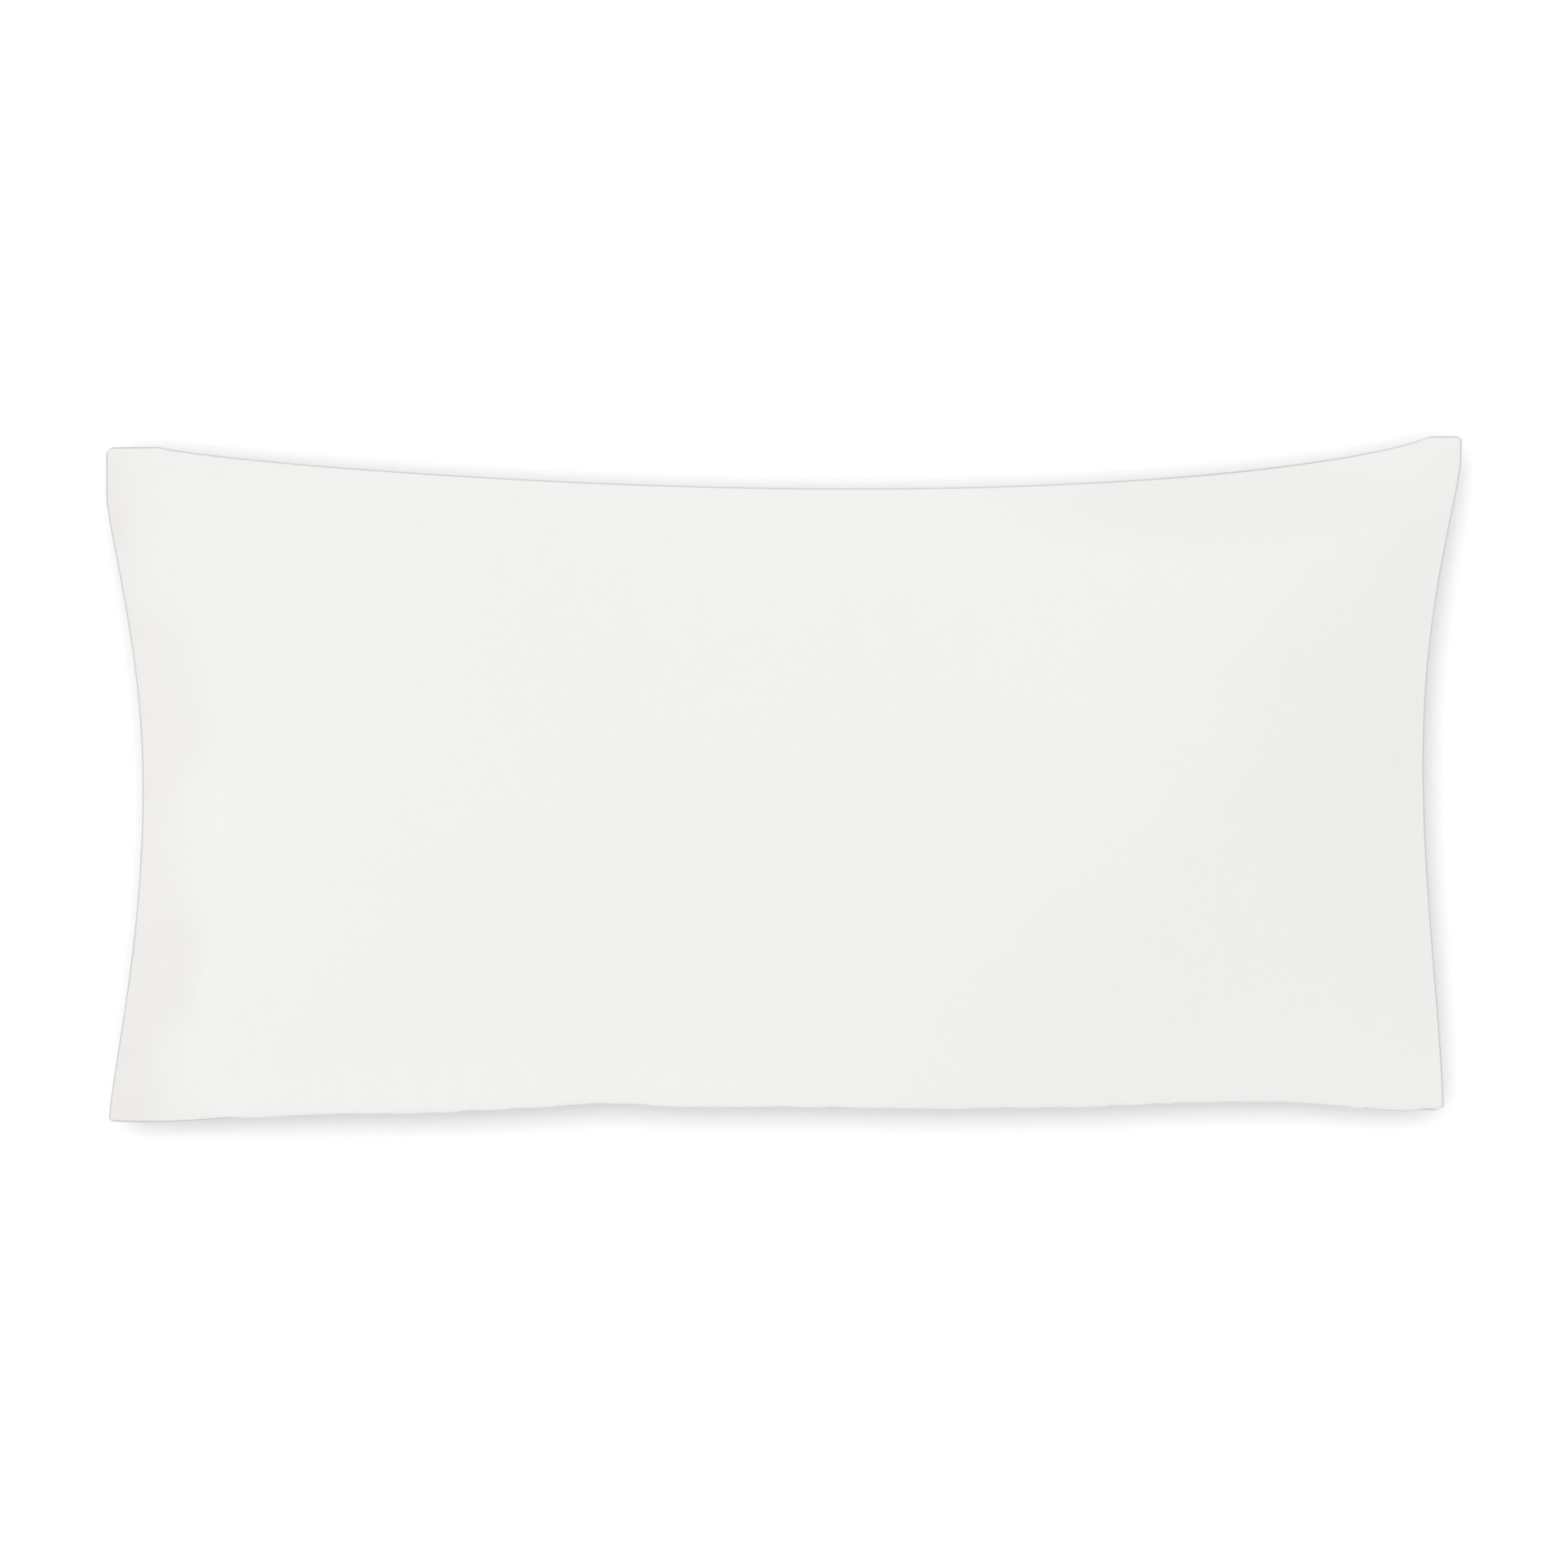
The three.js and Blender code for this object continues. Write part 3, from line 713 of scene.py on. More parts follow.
def outline(inset, count=400):
    """The seam line in plan, anticlockwise from the front left corner, inset."""
    xs, ys = (grid_places(half, half / count, [0.5 * MM] * 12) for half in CUT_HALVES)
    cut_x, cut_y = cut_grid(xs, ys)
    i, j = edge_places(len(xs), len(ys))
    x, y = plan(cut_x[i, j], cut_y[i, j])
    return np.column_stack(inset_points(x, y, inset))


# ======== materials

def feed(material, socket, value):
    """Gives a socket a fixed value or another node's result."""
    if isinstance(value, bpy.types.NodeSocket):
        material.node_tree.links.new(value, socket)
    else:
        socket.default_value = value


def adjust(material, made, **values):
    """Feeds a node's inputs by their names, and sets what isn't an input."""
    for name, value in values.items():
        socket = made.inputs.get(name.replace("_", " "))
        if socket is None:
            setattr(made, name, value)
        else:
            feed(material, socket, value)
    return made


def node(material, kind, **values):
    return adjust(material, material.node_tree.nodes.new(kind), **values)


def set_shader(material, **values):
    adjust(material, material.node_tree.nodes["Principled BSDF"], **values)


def principled(name, colour, roughness, **values):
    """A new material with its uniform values on the shader's own sockets."""
    material = bpy.data.materials.new(name)
    material.use_nodes = True
    set_shader(material, Base_Color=(*colour, 1), Roughness=roughness, **values)
    return material


def own_place(material):
    return node(material, "ShaderNodeTexCoord").outputs["Object"]


def cloth_place(material):
    """The place on the flat cut cloth."""
    return node(material, "ShaderNodeUVMap", uv_map="cloth").outputs["UV"]


def maths(material, operation, *inputs, vector=False):
    """The result of a maths node, from other nodes' results and fixed values."""
    kind = "ShaderNodeVectorMath" if vector else "ShaderNodeMath"
    made = node(material, kind, operation=operation)
    for socket, value in zip(made.inputs, inputs):
        feed(material, socket, value)
    gives_vector = vector and operation not in ("DOT_PRODUCT", "LENGTH")
    return made.outputs["Vector" if gives_vector else "Value"]


def parts_of(material, vector):
    """The X, Y and Z of a vector."""
    return node(material, "ShaderNodeSeparateXYZ", Vector=vector).outputs


def smooth_step(material, value, low, high, top=1.0):
    """A smooth step from 0 at low to top at high."""
    step = node(material, "ShaderNodeMapRange", interpolation_type="SMOOTHSTEP", Value=value,
                From_Min=low, From_Max=high, To_Max=top)
    return step.outputs["Result"]


def drifting(name, colour, tint, scale, share, roughness, **values):
    """A material whose colour drifts between two near tones over the object. scale says how
    closely, in patches to the metre, and share how softly."""
    material = principled(name, colour, roughness, **values)
    noise = node(material, "ShaderNodeTexNoise", Vector=own_place(material), Scale=scale,
                 Detail=3.0, Roughness=0.5)
    ramp = node(material, "ShaderNodeValToRGB", Fac=noise.outputs["Fac"])
    first, last = ramp.color_ramp.elements
    first.position, last.position = 0.5 - share, 0.5 + share
    first.color, last.color = (*tint, 1), (*colour, 1)
    set_shader(material, Base_Color=ramp.outputs["Color"])
    return material


def add_bump(material, height, strength, distance):
    bump = node(material, "ShaderNodeBump", Height=height, Strength=strength, Distance=distance)
    set_shader(material, Normal=bump.outputs["Normal"])


def add_grain(material, kind, strength, distance, **values):
    """Bumps from a texture of the object's own place."""
    texture = node(material, kind, Vector=own_place(material), **values)
    add_bump(material, texture.outputs["Fac"], strength, distance)


def thread_waves(material, pitch):
    """Heights of the warp and of the weft from the cloth's flat coordinates."""
    place = cloth_place(material)
    jitter = node(material, "ShaderNodeTexNoise", Vector=place, Scale=900.0, Detail=1.0)
    shifted = node(material, "ShaderNodeMixRGB", blend_type="ADD", Fac=0.25 * pitch, Color1=place,
                   Color2=jitter.outputs["Color"])
    waves_of = partial(node, material, "ShaderNodeTexWave", wave_type="BANDS",
                       Vector=shifted.outputs["Color"], Scale=math.pi / (10 * pitch))
    return [waves_of(bands_direction=direction).outputs["Fac"] for direction in "XY"]


SLUB_LENGTH = 16 * MM
SLUB_SHARE = 0.8


def with_slubs(material, height, stretch):
    """Adds the uneven thickness of single threads, which run across stretch's larger number."""
    place = maths(material, "MULTIPLY", cloth_place(material), stretch, vector=True)
    slubs = node(material, "ShaderNodeTexNoise", Vector=place, Scale=0.7, Detail=1.0)
    return maths(material, "MULTIPLY_ADD", slubs.outputs["Fac"], SLUB_SHARE, height)


CLOTH_DRIFT = {"scale": 7.0, "share": 0.22}


def woven(name, colour, tint, pitch, strength, sheen, roughness=0.9):
    """Plain-woven cloth: warp over weft at a pitch, with bumps of a strength, a soft sheen, and
    a slow drift of tone."""
    material = drifting(name, colour, tint, **CLOTH_DRIFT, roughness=roughness, Sheen_Weight=sheen,
                        Sheen_Roughness=0.5, Specular_IOR_Level=0.25)
    warp, weft = thread_waves(material, pitch)
    height = maths(material, "MULTIPLY", warp, weft)
    for direction in ((1 / SLUB_LENGTH, 1 / pitch, 0), (1 / pitch, 1 / SLUB_LENGTH, 0)):
        height = with_slubs(material, height, direction)
    add_bump(material, height, strength, 0.3 * pitch)
    return material


COVER_WHITE = (0.824, 0.823, 0.808)
# The tone the cover drifts to at random, and also the darker tone of its painted shade.
COVER_DRIFT_AND_SHADE_TINT = (0.787, 0.777, 0.761)
# The cover's colour has painted shade: a darker, slightly warmer tone in a bowed band along its left
# side, past a slanting line to the front right, and in a patch at the back right, where the cloth
# lies in shade. A thin dark line of painted shade lies just past the seam line, where the seam's
# groove is shaded.
LEFT_BAND_PAINTED_SHADE = {"middle": -0.04, "bow": 1.1, "from": 0.322, "to": 0.364, "share": 1.0}
SLANT_PAINTED_SHADE = {"direction": (0.779, -0.627, 0.0), "from": 0.13, "to": 0.21, "share": 0.4}
PATCH_PAINTED_SHADE = {"centre": (0.25, 0.165, 0.0), "stretch": (1 / 0.13, 1 / 0.036, 0.0),
              "from": -1.25, "to": -0.4, "share": 0.55}
PAINTED_SHADE_WANDER = 0.045
PAINTED_SHADE_GRAIN = 11.0
# Painted shade: a thin dark line just past the seam line, where the seam's groove lies in shade.
SEAM_PAINTED_SHADE = (0.62, 0.62, 0.615)
SEAM_PAINTED_SHADE_WIDTH = 0.4 * MM


def paint_cover_shade(material):
    """Paints shade into the cover's colour: mixes in a darker tone by place, with an uneven border,
    and a dark line along the seam's edge.
    """
    place = own_place(material)
    noise = node(material, "ShaderNodeTexNoise", Vector=place, Scale=PAINTED_SHADE_GRAIN, Detail=2.0)
    number = partial(maths, material)
    vector = partial(maths, material, vector=True)
    wander = number("MULTIPLY_ADD", noise.outputs["Fac"], 2 * PAINTED_SHADE_WANDER, -PAINTED_SHADE_WANDER)

    x, y, _ = parts_of(material, place)
    off_middle = number("SUBTRACT", y, LEFT_BAND_PAINTED_SHADE["middle"])
    bow = number("MULTIPLY", number("MULTIPLY", off_middle, off_middle), -LEFT_BAND_PAINTED_SHADE["bow"])
    to_left = number("SUBTRACT", bow, x)
    to_front_right = vector("DOT_PRODUCT", place, SLANT_PAINTED_SHADE["direction"])
    off_patch = vector("SUBTRACT", place, PATCH_PAINTED_SHADE["centre"])
    off_patch = vector("MULTIPLY", off_patch, PATCH_PAINTED_SHADE["stretch"])
    to_patch = number("MULTIPLY", vector("LENGTH", off_patch), -1)
    share = 0
    for measure, tone in ((to_left, LEFT_BAND_PAINTED_SHADE), (to_front_right, SLANT_PAINTED_SHADE), (to_patch, PATCH_PAINTED_SHADE)):
        uneven = number("ADD", measure, wander)
        step = smooth_step(material, uneven, tone["from"], tone["to"], tone["share"])
        share = number("MAXIMUM", step, share)
    # Painted shade: the darker tone is mixed in where the three masks reach.
    tone = node(material, "ShaderNodeMixRGB", Fac=share, Color1=(*COVER_WHITE, 1),
                Color2=(*COVER_DRIFT_AND_SHADE_TINT, 1))

    # Painted shade: the cloth past the seam line is mixed to a dark grey, where the seam's groove is
    # shaded.
    flat = parts_of(material, cloth_place(material))
    past = [number("SUBTRACT", number("ABSOLUTE", along), half)
            for along, half in zip(flat, CUT_HALVES)]
    seam_shade = smooth_step(material, number("MAXIMUM", *past), 0, SEAM_PAINTED_SHADE_WIDTH)
    with_seam_shade = node(material, "ShaderNodeMixRGB", Fac=seam_shade, Color1=tone.outputs["Color"],
                  Color2=(*SEAM_PAINTED_SHADE, 1))
    set_shader(material, Base_Color=with_seam_shade.outputs["Color"])


def make_materials():
    cover_cloth = woven("cover_cloth", COVER_WHITE, COVER_DRIFT_AND_SHADE_TINT, 0.42 * MM, 0.45, 0.12)
    # Paints shade into the cover's colour: a band, a slant, a patch and a line along the seam.
    paint_cover_shade(cover_cloth)
    ticking_cloth = woven("ticking_cloth", (0.83, 0.83, 0.82), (0.81, 0.805, 0.79), 0.30 * MM,
                          0.35, 0.08)
    label_tape = woven("label_tape", (0.88, 0.88, 0.88), (0.86, 0.86, 0.855), 0.20 * MM, 0.25,
                       0.2, 0.55)
    tape = drifting("zip_tape", (0.78, 0.78, 0.765), (0.75, 0.75, 0.735), 60.0, 0.2, 0.8,
                    Sheen_Weight=0.1)
    add_bump(tape, maths(tape, "MAXIMUM", *thread_waves(tape, 0.5 * MM)), 0.3, 0.15 * MM)
    fibre = drifting("fibre", (0.9, 0.9, 0.9), (0.84, 0.84, 0.84), 40.0, 0.2, 0.95,
                     Sheen_Weight=0.5, Sheen_Roughness=0.4, Specular_IOR_Level=0.2)
    add_grain(fibre, "ShaderNodeTexNoise", 0.6, 1 * MM, Scale=260.0, Detail=6.0, Roughness=0.7,
              Distortion=1.5)
    thread = drifting("sewing_thread", (0.79, 0.79, 0.77), (0.74, 0.74, 0.72), 300.0, 0.2, 0.6,
                      Sheen_Weight=0.2)
    add_grain(thread, "ShaderNodeTexWave", 0.4, 0.05 * MM, bands_direction="DIAGONAL", Scale=900.0)
    coil = drifting("zip_coil", (0.76, 0.76, 0.74), (0.72, 0.72, 0.70), 200.0, 0.25, 0.35,
                    Specular_IOR_Level=0.5)
    enamel = drifting("zip_enamel", (0.77, 0.77, 0.755), (0.74, 0.735, 0.72), 120.0, 0.25, 0.3,
                      Coat_Weight=0.3, Coat_Roughness=0.15)
    add_grain(enamel, "ShaderNodeTexNoise", 0.15, 0.05 * MM, Scale=1800.0, Detail=2.0)
    return {"cover_cloth": cover_cloth, "ticking_cloth": ticking_cloth, "label_tape": label_tape,
            "zip_tape": tape, "fibre": fibre, "sewing_thread": thread, "zip_coil": coil,
            "zip_enamel": enamel}


MATERIALS = make_materials()


def dress(obj, slot, body, *nodes):
    """Gives a piece the material of a slot and its body, and hides the CAD nodes that it stands for.
    """
    obj.data.materials.append(MATERIALS[slot])
    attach(obj, body)
    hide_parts(*nodes)
    return obj


# ======== building the cloth pieces

FINE_STEPS = [0.7 * MM, 0.8 * MM, 0.9 * MM, 1.1 * MM, 1.4 * MM, 1.8 * MM, 2.3 * MM]
COVER_STEP = 3 * MM
INSERT_STEP = 4 * MM
FIBRE_SINK = 0.7 * MM
SIDES = (("upper", 1), ("lower", -1))
cover_samples, insert_samples = ([grid_places(half, step, FINE_STEPS) for half in CUT_HALVES]
                                 for step in (COVER_STEP, INSERT_STEP))


def build_panels(layer, slot, surface_of, samples, allowance, has_slit, cloth, seed):
    """A layer's two panels, each a surface and its sewn edge."""
    flat = np.stack(cut_grid(*samples), -1)
    made = {}
    for word, side in SIDES:
        surface = surface_of(side, samples, np.random.default_rng(seed + side))
        obj = panel(f"{layer}_{word}", surface, flat, side, allowance, has_slit, cloth)
        made[word] = dress(obj, slot, "pillow", f"{layer}_{word}_panel")
    return made


def build_fill():
    """The fibre: one soft lumpy body, with its crown and belly joined along a thin edge."""
    cut_x, cut_y = cut_grid(*insert_samples)
    rng = np.random.default_rng(SEED + 20)
    share = ease(nearest_seam(cut_x, cut_y) / FINE_FADE)
    surfaces = []
    for _, side in SIDES:
        tufts = waves(cut_x, cut_y, *FIBRE_TUFTS, rng)
        lumps = waves(cut_x, cut_y, *FIBRE_LUMPS, rng)
        relief = np.minimum(tufts + lumps - FIBRE_SINK, 0) * share
        surfaces.append(raised(layer_surface(FILL, side, insert_samples), relief, side))
    points, faces, _, _ = joined_sides(*surfaces)
    obj = mesh_object("fibre_filling", points, faces)
    return dress(obj, "fibre", "pillow", "fibre_fill")


cover = build_panels("cover", "cover_cloth", cover_surface, cover_samples, COVER_SEAM_ALLOWANCE,
                     True, COVER_CLOTH, SEED)
insert = build_panels("ticking", "ticking_cloth", ticking_surface, insert_samples,
                      TICKING_SEAM_ALLOWANCE, False, TICKING_CLOTH, SEED + 10)
filling = build_fill()

# ======== threads

THREAD_RADIUS = 0.12 * MM
COVER_STITCH = 2.8 * MM
INSERT_STITCH = 3.0 * MM
SEAM_ROW_INSET = 1.2 * MM
STUFFING_HOLE_HALF = 0.093
CLOSING_STITCH = 4.0 * MM
CLOSING_POINTS = 12
CLOSING_LOOP = {"depth": 0.9 * MM, "reach": 1.1 * MM, "height": 0.85 * MM}


def build_thread(name, node_name, runs):
    dress(tube(name, runs, THREAD_RADIUS), "sewing_thread", "pillow", node_name)


def open_line(line, left_out):
    """The closed outline without one stretch of it, starting where that stretch ends."""
    gone = np.flatnonzero(left_out)
    ahead = np.roll(left_out, -1)
    start = gone[~ahead[gone]][0] + 1
    return np.roll(line, -start, axis=0)[:len(line) - len(gone)]


def build_seam_thread(name, node_name, inset, cloth, stitch, left_out):
    """The machine row that closes a seam, with both its threads."""
    line = outline(inset + SEAM_ROW_INSET)
    height = SEAM_GAP + cloth + THREAD_RADIUS
    runs = lockstitch(open_line(line, left_out(line)), stitch, height)
    build_thread(name, node_name, runs)


def in_slit(line):
    return (np.abs(line[:, 0] - ZIP_CENTRE_X) < ZIP_HALF_LENGTH) & (line[:, 1] < 0)


def in_stuffing_hole(line):
    return (line[:, 0] < 0) & (np.abs(line[:, 1]) < STUFFING_HOLE_HALF)


def build_closing_thread():
    """The hand-sewn whip stitches that close the insert's stuffing hole."""
    line = outline(TICKING["inset"])
    points = resampled_line(line[in_stuffing_hole(line)], CLOSING_STITCH / CLOSING_POINTS)
    turn = 2 * math.pi * np.arange(len(points)) / CLOSING_POINTS
    depth = CLOSING_LOOP["depth"] - CLOSING_LOOP["reach"] * np.cos(turn)
    x, y = inset_points(points[:, 0], points[:, 1], depth)
    z = SEAM_Z + CLOSING_LOOP["height"] * np.sin(turn)
    build_thread("insert_closing_stitches", "insert_closing_thread", [np.column_stack([x, y, z])])


build_seam_thread("cover_seam_stitches", "cover_seam_thread", 0, COVER_CLOTH, COVER_STITCH, in_slit)
build_seam_thread("insert_seam_stitches", "insert_seam_thread", TICKING["inset"], TICKING_CLOTH,
                  INSERT_STITCH, in_stuffing_hole)
build_closing_thread()

# ======== the zip

TAPE_THICKNESS = 0.5 * MM
TAPE_STEP = 2 * MM
BEND_EASE = 0.35
TAPE_ROW_SHARE = 0.54
TAPE_ROW_END = 1 * MM
TAPE_STITCH = 2.8 * MM
TAPE_LIFT_AT_HOLE = 0.1
TAPE_SEAM_GAP = 0.2 * MM
WIRE_RADIUS = 0.25 * MM
COIL_PITCH = 1.4 * MM
COIL_TURN_POINTS = 12


def tape_path():
    """The tape's section, as depth and height: a short upright web beside the coil, a rounded
    bend and the long slope that is sewn to the cover's allowance."""
    low, bend, high = (np.array(point) for point in TAPE_BENDS)
    before = bend + (low - bend) * BEND_EASE
    after = bend + (high - bend) * BEND_EASE / 3
    t = np.linspace(0, 1, 7)[:, None]
    curve = (1 - t) ** 2 * before + 2 * t * (1 - t) * bend + t**2 * after
    slope = after + (high - after) * np.linspace(0, 1, 9)[1:, None]
    return np.concatenate([[low, (low + before) / 2], curve, slope])


def zip_place(x, depth, height, side):
    """A place on the zip's upper or lower half, at a depth in from its line and a height."""
    return np.stack([x, ZIP_LINE_Y + depth, SEAM_Z + side * height], -1)


def build_tape(word, side):
    path = tape_path()
    xs = ZIP_CENTRE_X + np.arange(-ZIP_HALF_LENGTH, ZIP_HALF_LENGTH + TAPE_STEP / 2, TAPE_STEP)
    x, row = np.meshgrid(xs, np.arange(len(path)), indexing="ij")
    points = zip_place(x, path[row, 0], path[row, 1], side)
    flat = np.stack([x, lengths_along(path)[row]], -1)
    obj = cloth_object(f"zip_tape_{word}_woven", points, quads(numbered(x.shape)), flat, side,
                       TAPE_THICKNESS)
    return dress(obj, "zip_tape", "pillow", f"zip_tape_{word}")


def build_tape_stitches(word, side):
    """The row that sews a tape to the cover's allowance, through both."""
    _, bend, high = (np.array(point) for point in TAPE_BENDS)
    middle = bend + (high - bend) * TAPE_ROW_SHARE
    away = unit(np.array([bend[1] - high[1], high[0] - bend[0]]))
    half = ZIP_HALF_LENGTH - TAPE_ROW_END
    line = np.array([[-half, 0], [half, 0]])
    points = resampled_line(line, TAPE_STITCH / STITCH_POINTS)
    lift = stitch_lift(len(points), TAPE_LIFT_AT_HOLE)
    runs = []
    for reach in (COVER_CLOTH + TAPE_SEAM_GAP + THREAD_RADIUS, -TAPE_THICKNESS - THREAD_RADIUS):
        place = middle[None] + (lift * reach)[:, None] * away[None]
        runs.append(zip_place(ZIP_CENTRE_X + points[:, 0], place[:, 0], place[:, 1], side))
    build_thread(f"zip_tape_stitches_{word}", f"zip_tape_stitching_{word}", runs)


def build_coil(word, side):
    """One nylon coil, wound from a single wire."""
    turns = 2 * COIL_HALF_LENGTH / COIL_PITCH
    count = int(turns * COIL_TURN_POINTS)
    t = np.arange(count) / COIL_TURN_POINTS
    turn = 2 * math.pi * t
    radius = COIL_RADIUS - WIRE_RADIUS
    x = ZIP_CENTRE_X - COIL_HALF_LENGTH + WIRE_RADIUS + t * COIL_PITCH
    depth = COIL_CENTRE[0] + radius * np.cos(turn)
    height = COIL_CENTRE[1] + radius * np.sin(turn)
    run = zip_place(x, depth, height, side)
    keep = run[:, 0] < ZIP_CENTRE_X + COIL_HALF_LENGTH - WIRE_RADIUS
    obj = tube(f"zip_coil_{word}_wound", [run[keep]], WIRE_RADIUS)
    return dress(obj, "zip_coil", "pillow", f"zip_coil_{word}")


def prism(loops, low, high, upright):
    """A plate in millimetres, cut to outlines of (x, height) and run over depths, or, if it is
    upright, cut to outlines of (x, depth) and run over heights. Loops after the first are holes."""
    curve = bpy.data.curves.new("outline", "CURVE")
    curve.dimensions = "2D"
    curve.fill_mode = "BOTH"
    curve.extrude = (high - low) / 2
    for loop in loops:
        spline = curve.splines.new("POLY")
        spline.points.add(len(loop) - 1)
        for point, (a, b) in zip(spline.points, loop):
            point.co = (a, b, 0, 1)
        spline.use_cyclic_u = True
    helper = new_object("outline", curve)
    mesh = bpy.data.meshes.new_from_object(evaluated(helper))
    for vertex in mesh.vertices:
        a, b, c = vertex.co
        c += (low + high) / 2
        vertex.co = (a, b, c) if upright else (a, c, b)
    bpy.data.objects.remove(helper)
    return mesh


def circle(a, b, radius):
    turns = np.linspace(0, 2 * math.pi, 24, endpoint=False)
    return [(a + radius * math.cos(t), b + radius * math.sin(t)) for t in turns]


def fused(name, parts, x, grain, smoothing):
    """Joins overlapping parts into one casting with soft edges, at a place along the zip."""
    whole = bmesh.new()
    for part in parts:
        whole.from_mesh(part)
        bpy.data.meshes.remove(part)
    bmesh.ops.remove_doubles(whole, verts=whole.verts, dist=1e-4)
    mesh = bpy.data.meshes.new(name)
    whole.to_mesh(mesh)
    whole.free()
    obj = new_object(name, mesh)
    add_modifier(obj, "REMESH", mode="VOXEL", voxel_size=grain, use_smooth_shade=True)
    add_modifier(obj, "SMOOTH", factor=0.5, iterations=smoothing)
    apply_modifiers(obj)
    obj.data.transform(Matrix.Translation((x, ZIP_LINE_Y, SEAM_Z)) @ Matrix.Scale(MM, 4))
    obj.data.update()
    return obj


def mirrored(half_loop):
    """Closes an outline that is drawn on the positive side of its second axis."""
    return [*half_loop, *[(a, -b) for a, b in reversed(half_loop)]]


# Outlines in millimetres, from the slider's middle and from the pull's hinge.
SLIDER_SHIELD = mirrored([(-4.5, 1.7), (-3.7, 2.35), (0, 2.6), (3.0, 2.5), (4.1, 1.9), (4.5, 1.0)])
SLIDER_BACK = mirrored([(-4.5, 2.6), (-4.1, 3.1), (4.1, 3.1), (4.5, 2.6)])
BRIDGE_ARCH = [(-3.3, -0.8), (-3.3, -2.7), (-2.7, -3.5), (-1.7, -3.8), (1.7, -3.8), (2.7, -3.5),
               (3.3, -2.7), (3.3, -0.8), (2.3, -0.8), (2.3, -2.5), (1.8, -3.0), (-1.8, -3.0),
               (-2.3, -2.5), (-2.3, -0.8)]


def rounded_end(centre, radius, steps=12):
    turns = np.linspace(math.pi / 2, math.pi, steps)
    return [(centre + radius * math.cos(t), radius * math.sin(t)) for t in turns]


PULL_OUTLINE = mirrored([(-4.4, 2.4), (-7.0, 2.1), (-10.0, 2.05), (-14.0, 2.5), (-17.5, 2.95),
                         *rounded_end(-19.0, 3.0)])
PULL_HOLE = circle(-18.7, 0, 1.3)
PULL_PANEL = mirrored([(-6.8, 1.2), (-10.0, 1.15), (-14.0, 1.5), (-15.6, 1.7)])


def rectangle(low_a, high_a, low_b, high_b):
    return [(low_a, low_b), (high_a, low_b), (high_a, high_b), (low_a, high_b)]


# The parts of each casting: outlines, how far they run and whether they are upright. The slider
# has a shield with a bridge for the pull, a neck, and a back plate with two flanges.
SLIDER_PARTS = (
    ([SLIDER_SHIELD], -1.5, -0.4, False),
    ([BRIDGE_ARCH], -0.8, 0.8, True),
    ([rectangle(-1.5, 1.5, -0.4, 0.4)], -0.8, 6.8, False),
    ([SLIDER_BACK], 6.3, 7.1, False),
    ([rectangle(-4.3, 4.3, 2.6, 3.15)], 5.4, 6.8, False),
    ([rectangle(-4.3, 4.3, -3.15, -2.6)], 5.4, 6.8, False),
)
# The pull is a waisted plate with a hole and a raised rim, on two arms with a cross pin.
HINGE = PULL_HINGE_DEPTH / MM
PULL_PARTS = (
    ([PULL_OUTLINE, PULL_HOLE, PULL_PANEL], HINGE - 0.5, HINGE + 0.5, False),
    ([PULL_PANEL], HINGE - 0.25, HINGE + 0.25, False),
    ([rectangle(-6.0, 0.3, 1.2, 2.4)], HINGE - 0.5, HINGE + 0.5, False),
    ([rectangle(-6.0, 0.3, -2.4, -1.2)], HINGE - 0.5, HINGE + 0.5, False),
    ([circle(0, HINGE, 0.5)], -1.8, 1.8, True),
)
CASTING = {"grain": 0.11, "smoothing": 3}
STOP = {"grain": 0.09, "smoothing": 2}


def build_casting(name, body, parts):
    obj = fused(f"{name}_cast", [prism(*part) for part in parts], SLIDER_X, **CASTING)
    return dress(obj, "zip_enamel", body, name)


CRIMPS = [(0.0, 0.0), (0.8, 0.0), (1.0, 0.18), (1.2, 0.0), (1.8, 0.0), (2.0, 0.18), (2.2, 0.0),
          (3.0, 0.0)]


def build_stop(name, node_name):
    """A metal clamp, pinched in two places along its length."""
    low, high = (np.array(corner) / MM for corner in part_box(node_name))
    start, depths = low[0], (low[1] - ZIP_LINE_Y / MM, high[1] - ZIP_LINE_Y / MM)
    heights = low[2] - SEAM_Z / MM, high[2] - SEAM_Z / MM
    under = [(x, heights[0] + pinch) for x, pinch in CRIMPS]
    over = [(x, heights[1] - pinch) for x, pinch in reversed(CRIMPS)]
    obj = fused(name, [prism([under + over], *depths, False)], start * MM, **STOP)
    return dress(obj, "zip_enamel", "pillow", node_name)


for word, side in SIDES:
    build_tape(word, side)
    build_tape_stitches(word, side)
    build_coil(word, side)
    build_stop(f"zip_end_clamp_{word}", f"zip_end_stop_{word}")
build_stop("zip_start_clamp", "zip_start_stop")
build_casting("zip_slider", "slider", SLIDER_PARTS)
build_casting("zip_pull", "pull", PULL_PARTS)

# ======== labels

LABEL_CLOTH = 0.15 * MM
LABEL_STEPS = (28, 36)
COVER_LABEL = {"x": (-0.3945, -0.3560), "y": (0.0005, 0.0515)}
INSERT_LABEL = {"x": (0.3560, 0.3945), "y": (-0.0515, -0.0005)}
# The cover's label lies inside its panel, and the insert's outside.
COVER_LABEL_OFFSET = -COVER_CLOTH - 0.2 * MM
INSERT_LABEL_OFFSET = LABEL_CLOTH + 0.1 * MM


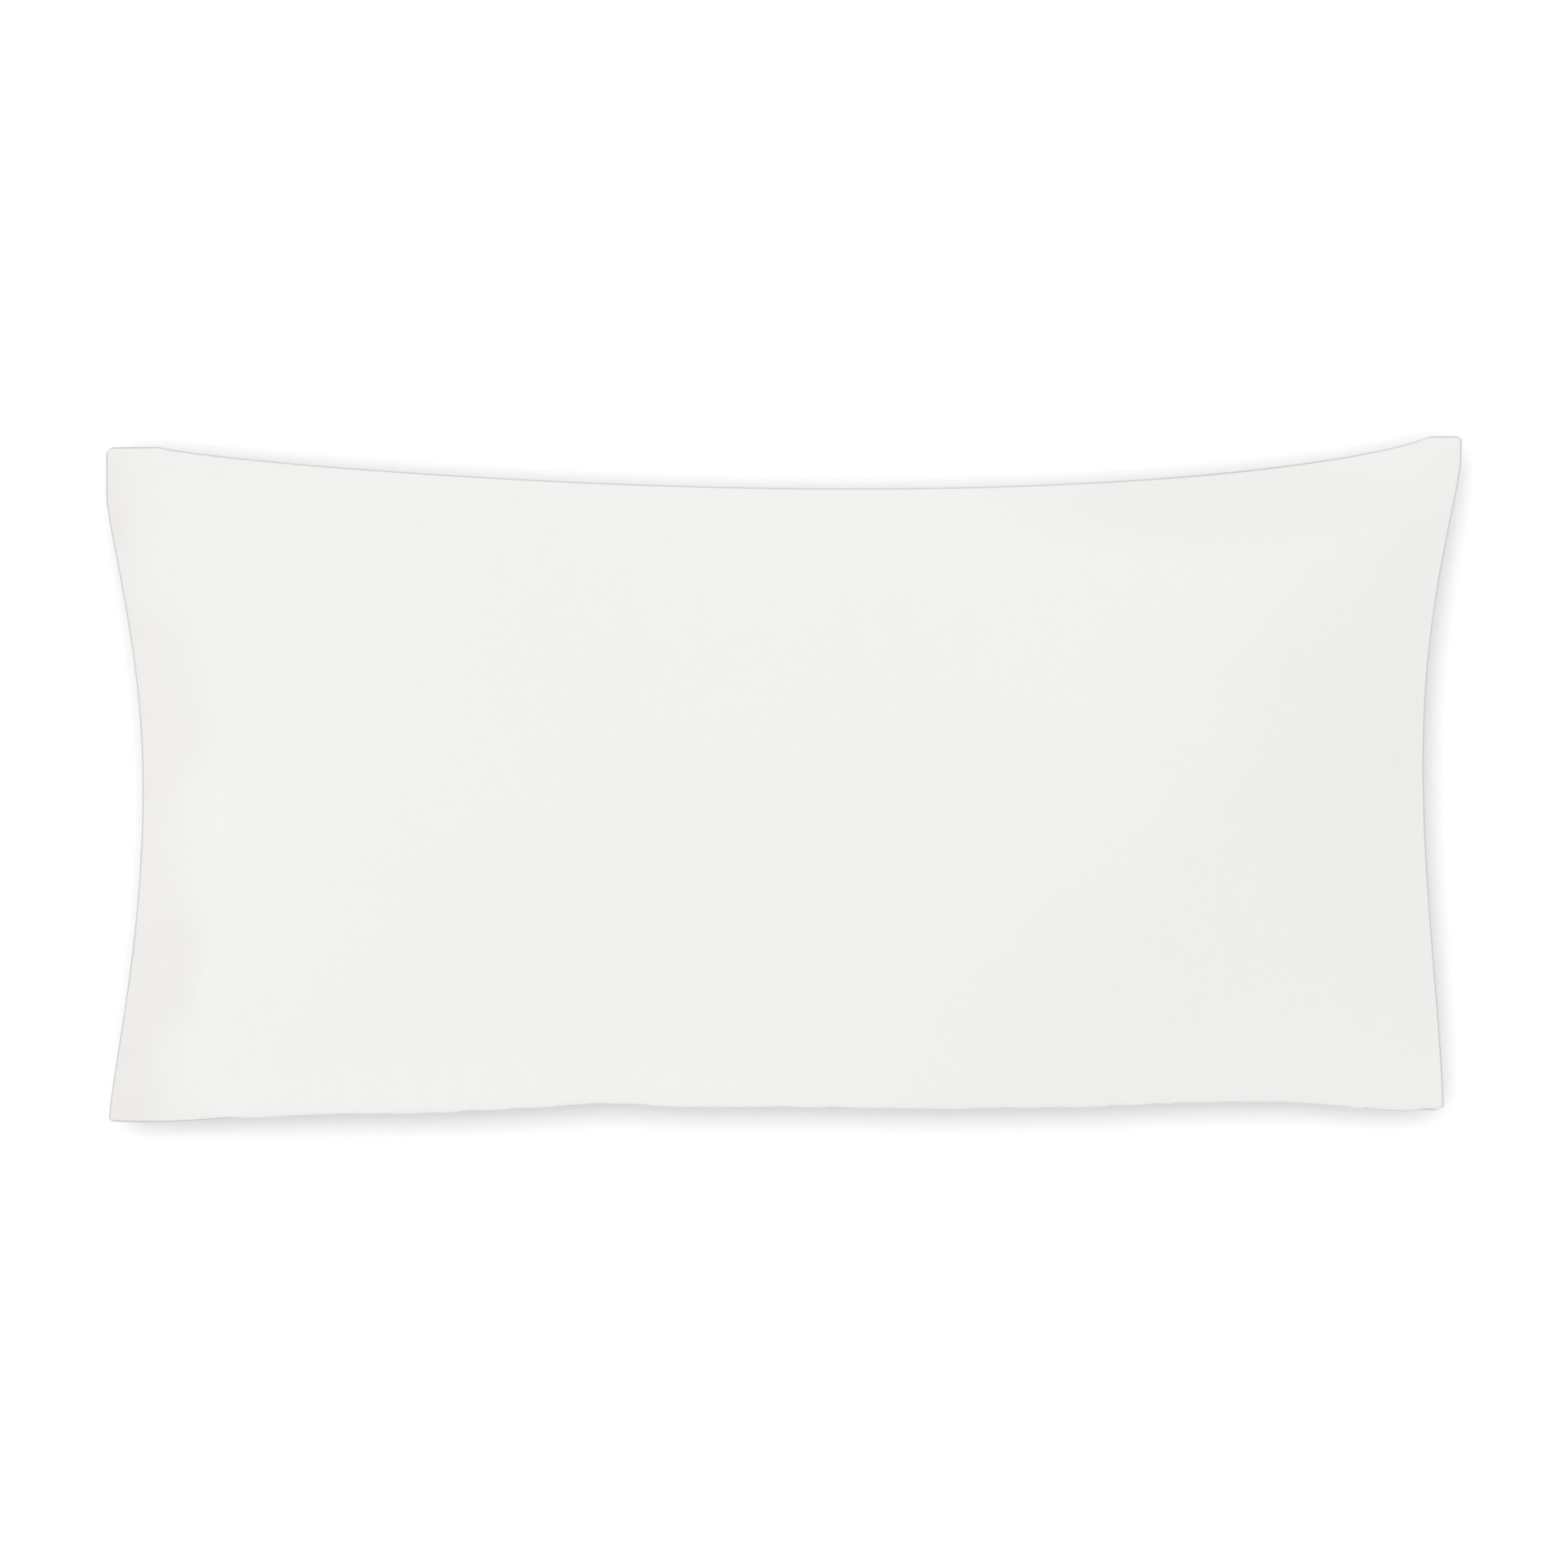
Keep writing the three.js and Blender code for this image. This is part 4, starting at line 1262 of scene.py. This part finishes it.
def build_label(layer, place, surface_of, seed, offset):
    """A blank satin strip that lies along a layer's upper panel, offset from it outwards."""
    samples = [np.linspace(*place[axis], count + 1) for axis, count in zip("xy", LABEL_STEPS)]
    surface = surface_of(1, samples, np.random.default_rng(seed))
    points = surface + offset * grid_normals(surface, 1)
    flat = np.stack(cut_grid(*samples), -1)
    obj = cloth_object(f"{layer}_label", points, quads(numbered(flat.shape[:2])), flat, 1,
                       LABEL_CLOTH)
    return dress(obj, "label_tape", "pillow", f"{layer}_care_label")


labels = {
    "cover": build_label("cover", COVER_LABEL, cover_surface, SEED + 1, COVER_LABEL_OFFSET),
    "insert": build_label("insert", INSERT_LABEL, ticking_surface, SEED + 11, INSERT_LABEL_OFFSET),
}

# -------- floor, light and camera

scene = bpy.context.scene
scene.view_settings.view_transform = "Standard"

FLOOR_HALF = 6.0
FLOOR_GREY = (0.465, 0.465, 0.465)
SKY_STRENGTH = 1.020
KEY_FROM = (-0.55, 0.15, 0.85)
KEY_STRENGTH = 0.09 * math.pi
KEY_SPREAD = 50
BACKDROP_FROM = (-0.048, 0.052, 1.0)
BACKDROP_STRENGTH = 1.30 * math.pi
BACKDROP_SPREAD = 34
VIEW_WIDTH = 0.9164
VIEW_CENTRE_Y = -0.0031
CAMERA_HEIGHT = 4.0
SENSOR = 36.0


def add_camera():
    data = bpy.data.cameras.new("camera")
    data.sensor_width = SENSOR
    data.lens = SENSOR * (CAMERA_HEIGHT - SEAM_Z) / VIEW_WIDTH
    camera = new_object("camera", data)
    camera.location = (0, VIEW_CENTRE_Y, CAMERA_HEIGHT)
    scene.camera = camera


def add_floor():
    floor = flat_square("floor", FLOOR_HALF, 0)
    floor.data.materials.append(principled("floor", FLOOR_GREY, 0.9))


def add_sun(name, towards, strength, spread):
    """A far soft lamp. towards points at it, and spread is how wide it looks, in degrees."""
    lamp = bpy.data.lights.new(name, "SUN")
    lamp.energy = strength
    lamp.angle = math.radians(spread)
    sun = new_object(name, lamp)
    sun.rotation_euler = Vector(towards).to_track_quat("Z", "Y").to_euler()
    return sun


def add_lights():
    """An even white sky, a weak key from the back left, and a nearly overhead lamp that lights
    only the floor, so that the pillow's soft shadow stays close to it."""
    world = bpy.data.worlds.new("studio")
    scene.world = world
    world.use_nodes = True
    background = world.node_tree.nodes["Background"]
    background.inputs["Color"].default_value = (1, 1, 1, 1)
    background.inputs["Strength"].default_value = SKY_STRENGTH
    add_sun("key", KEY_FROM, KEY_STRENGTH, KEY_SPREAD)
    backdrop_light = add_sun("backdrop_light", BACKDROP_FROM, BACKDROP_STRENGTH, BACKDROP_SPREAD)
    lit = bpy.data.collections.new("lit_by_backdrop_light")
    lit.objects.link(bpy.data.objects["floor"])
    backdrop_light.light_linking.receiver_collection = lit


add_camera()
add_floor()
add_lights()
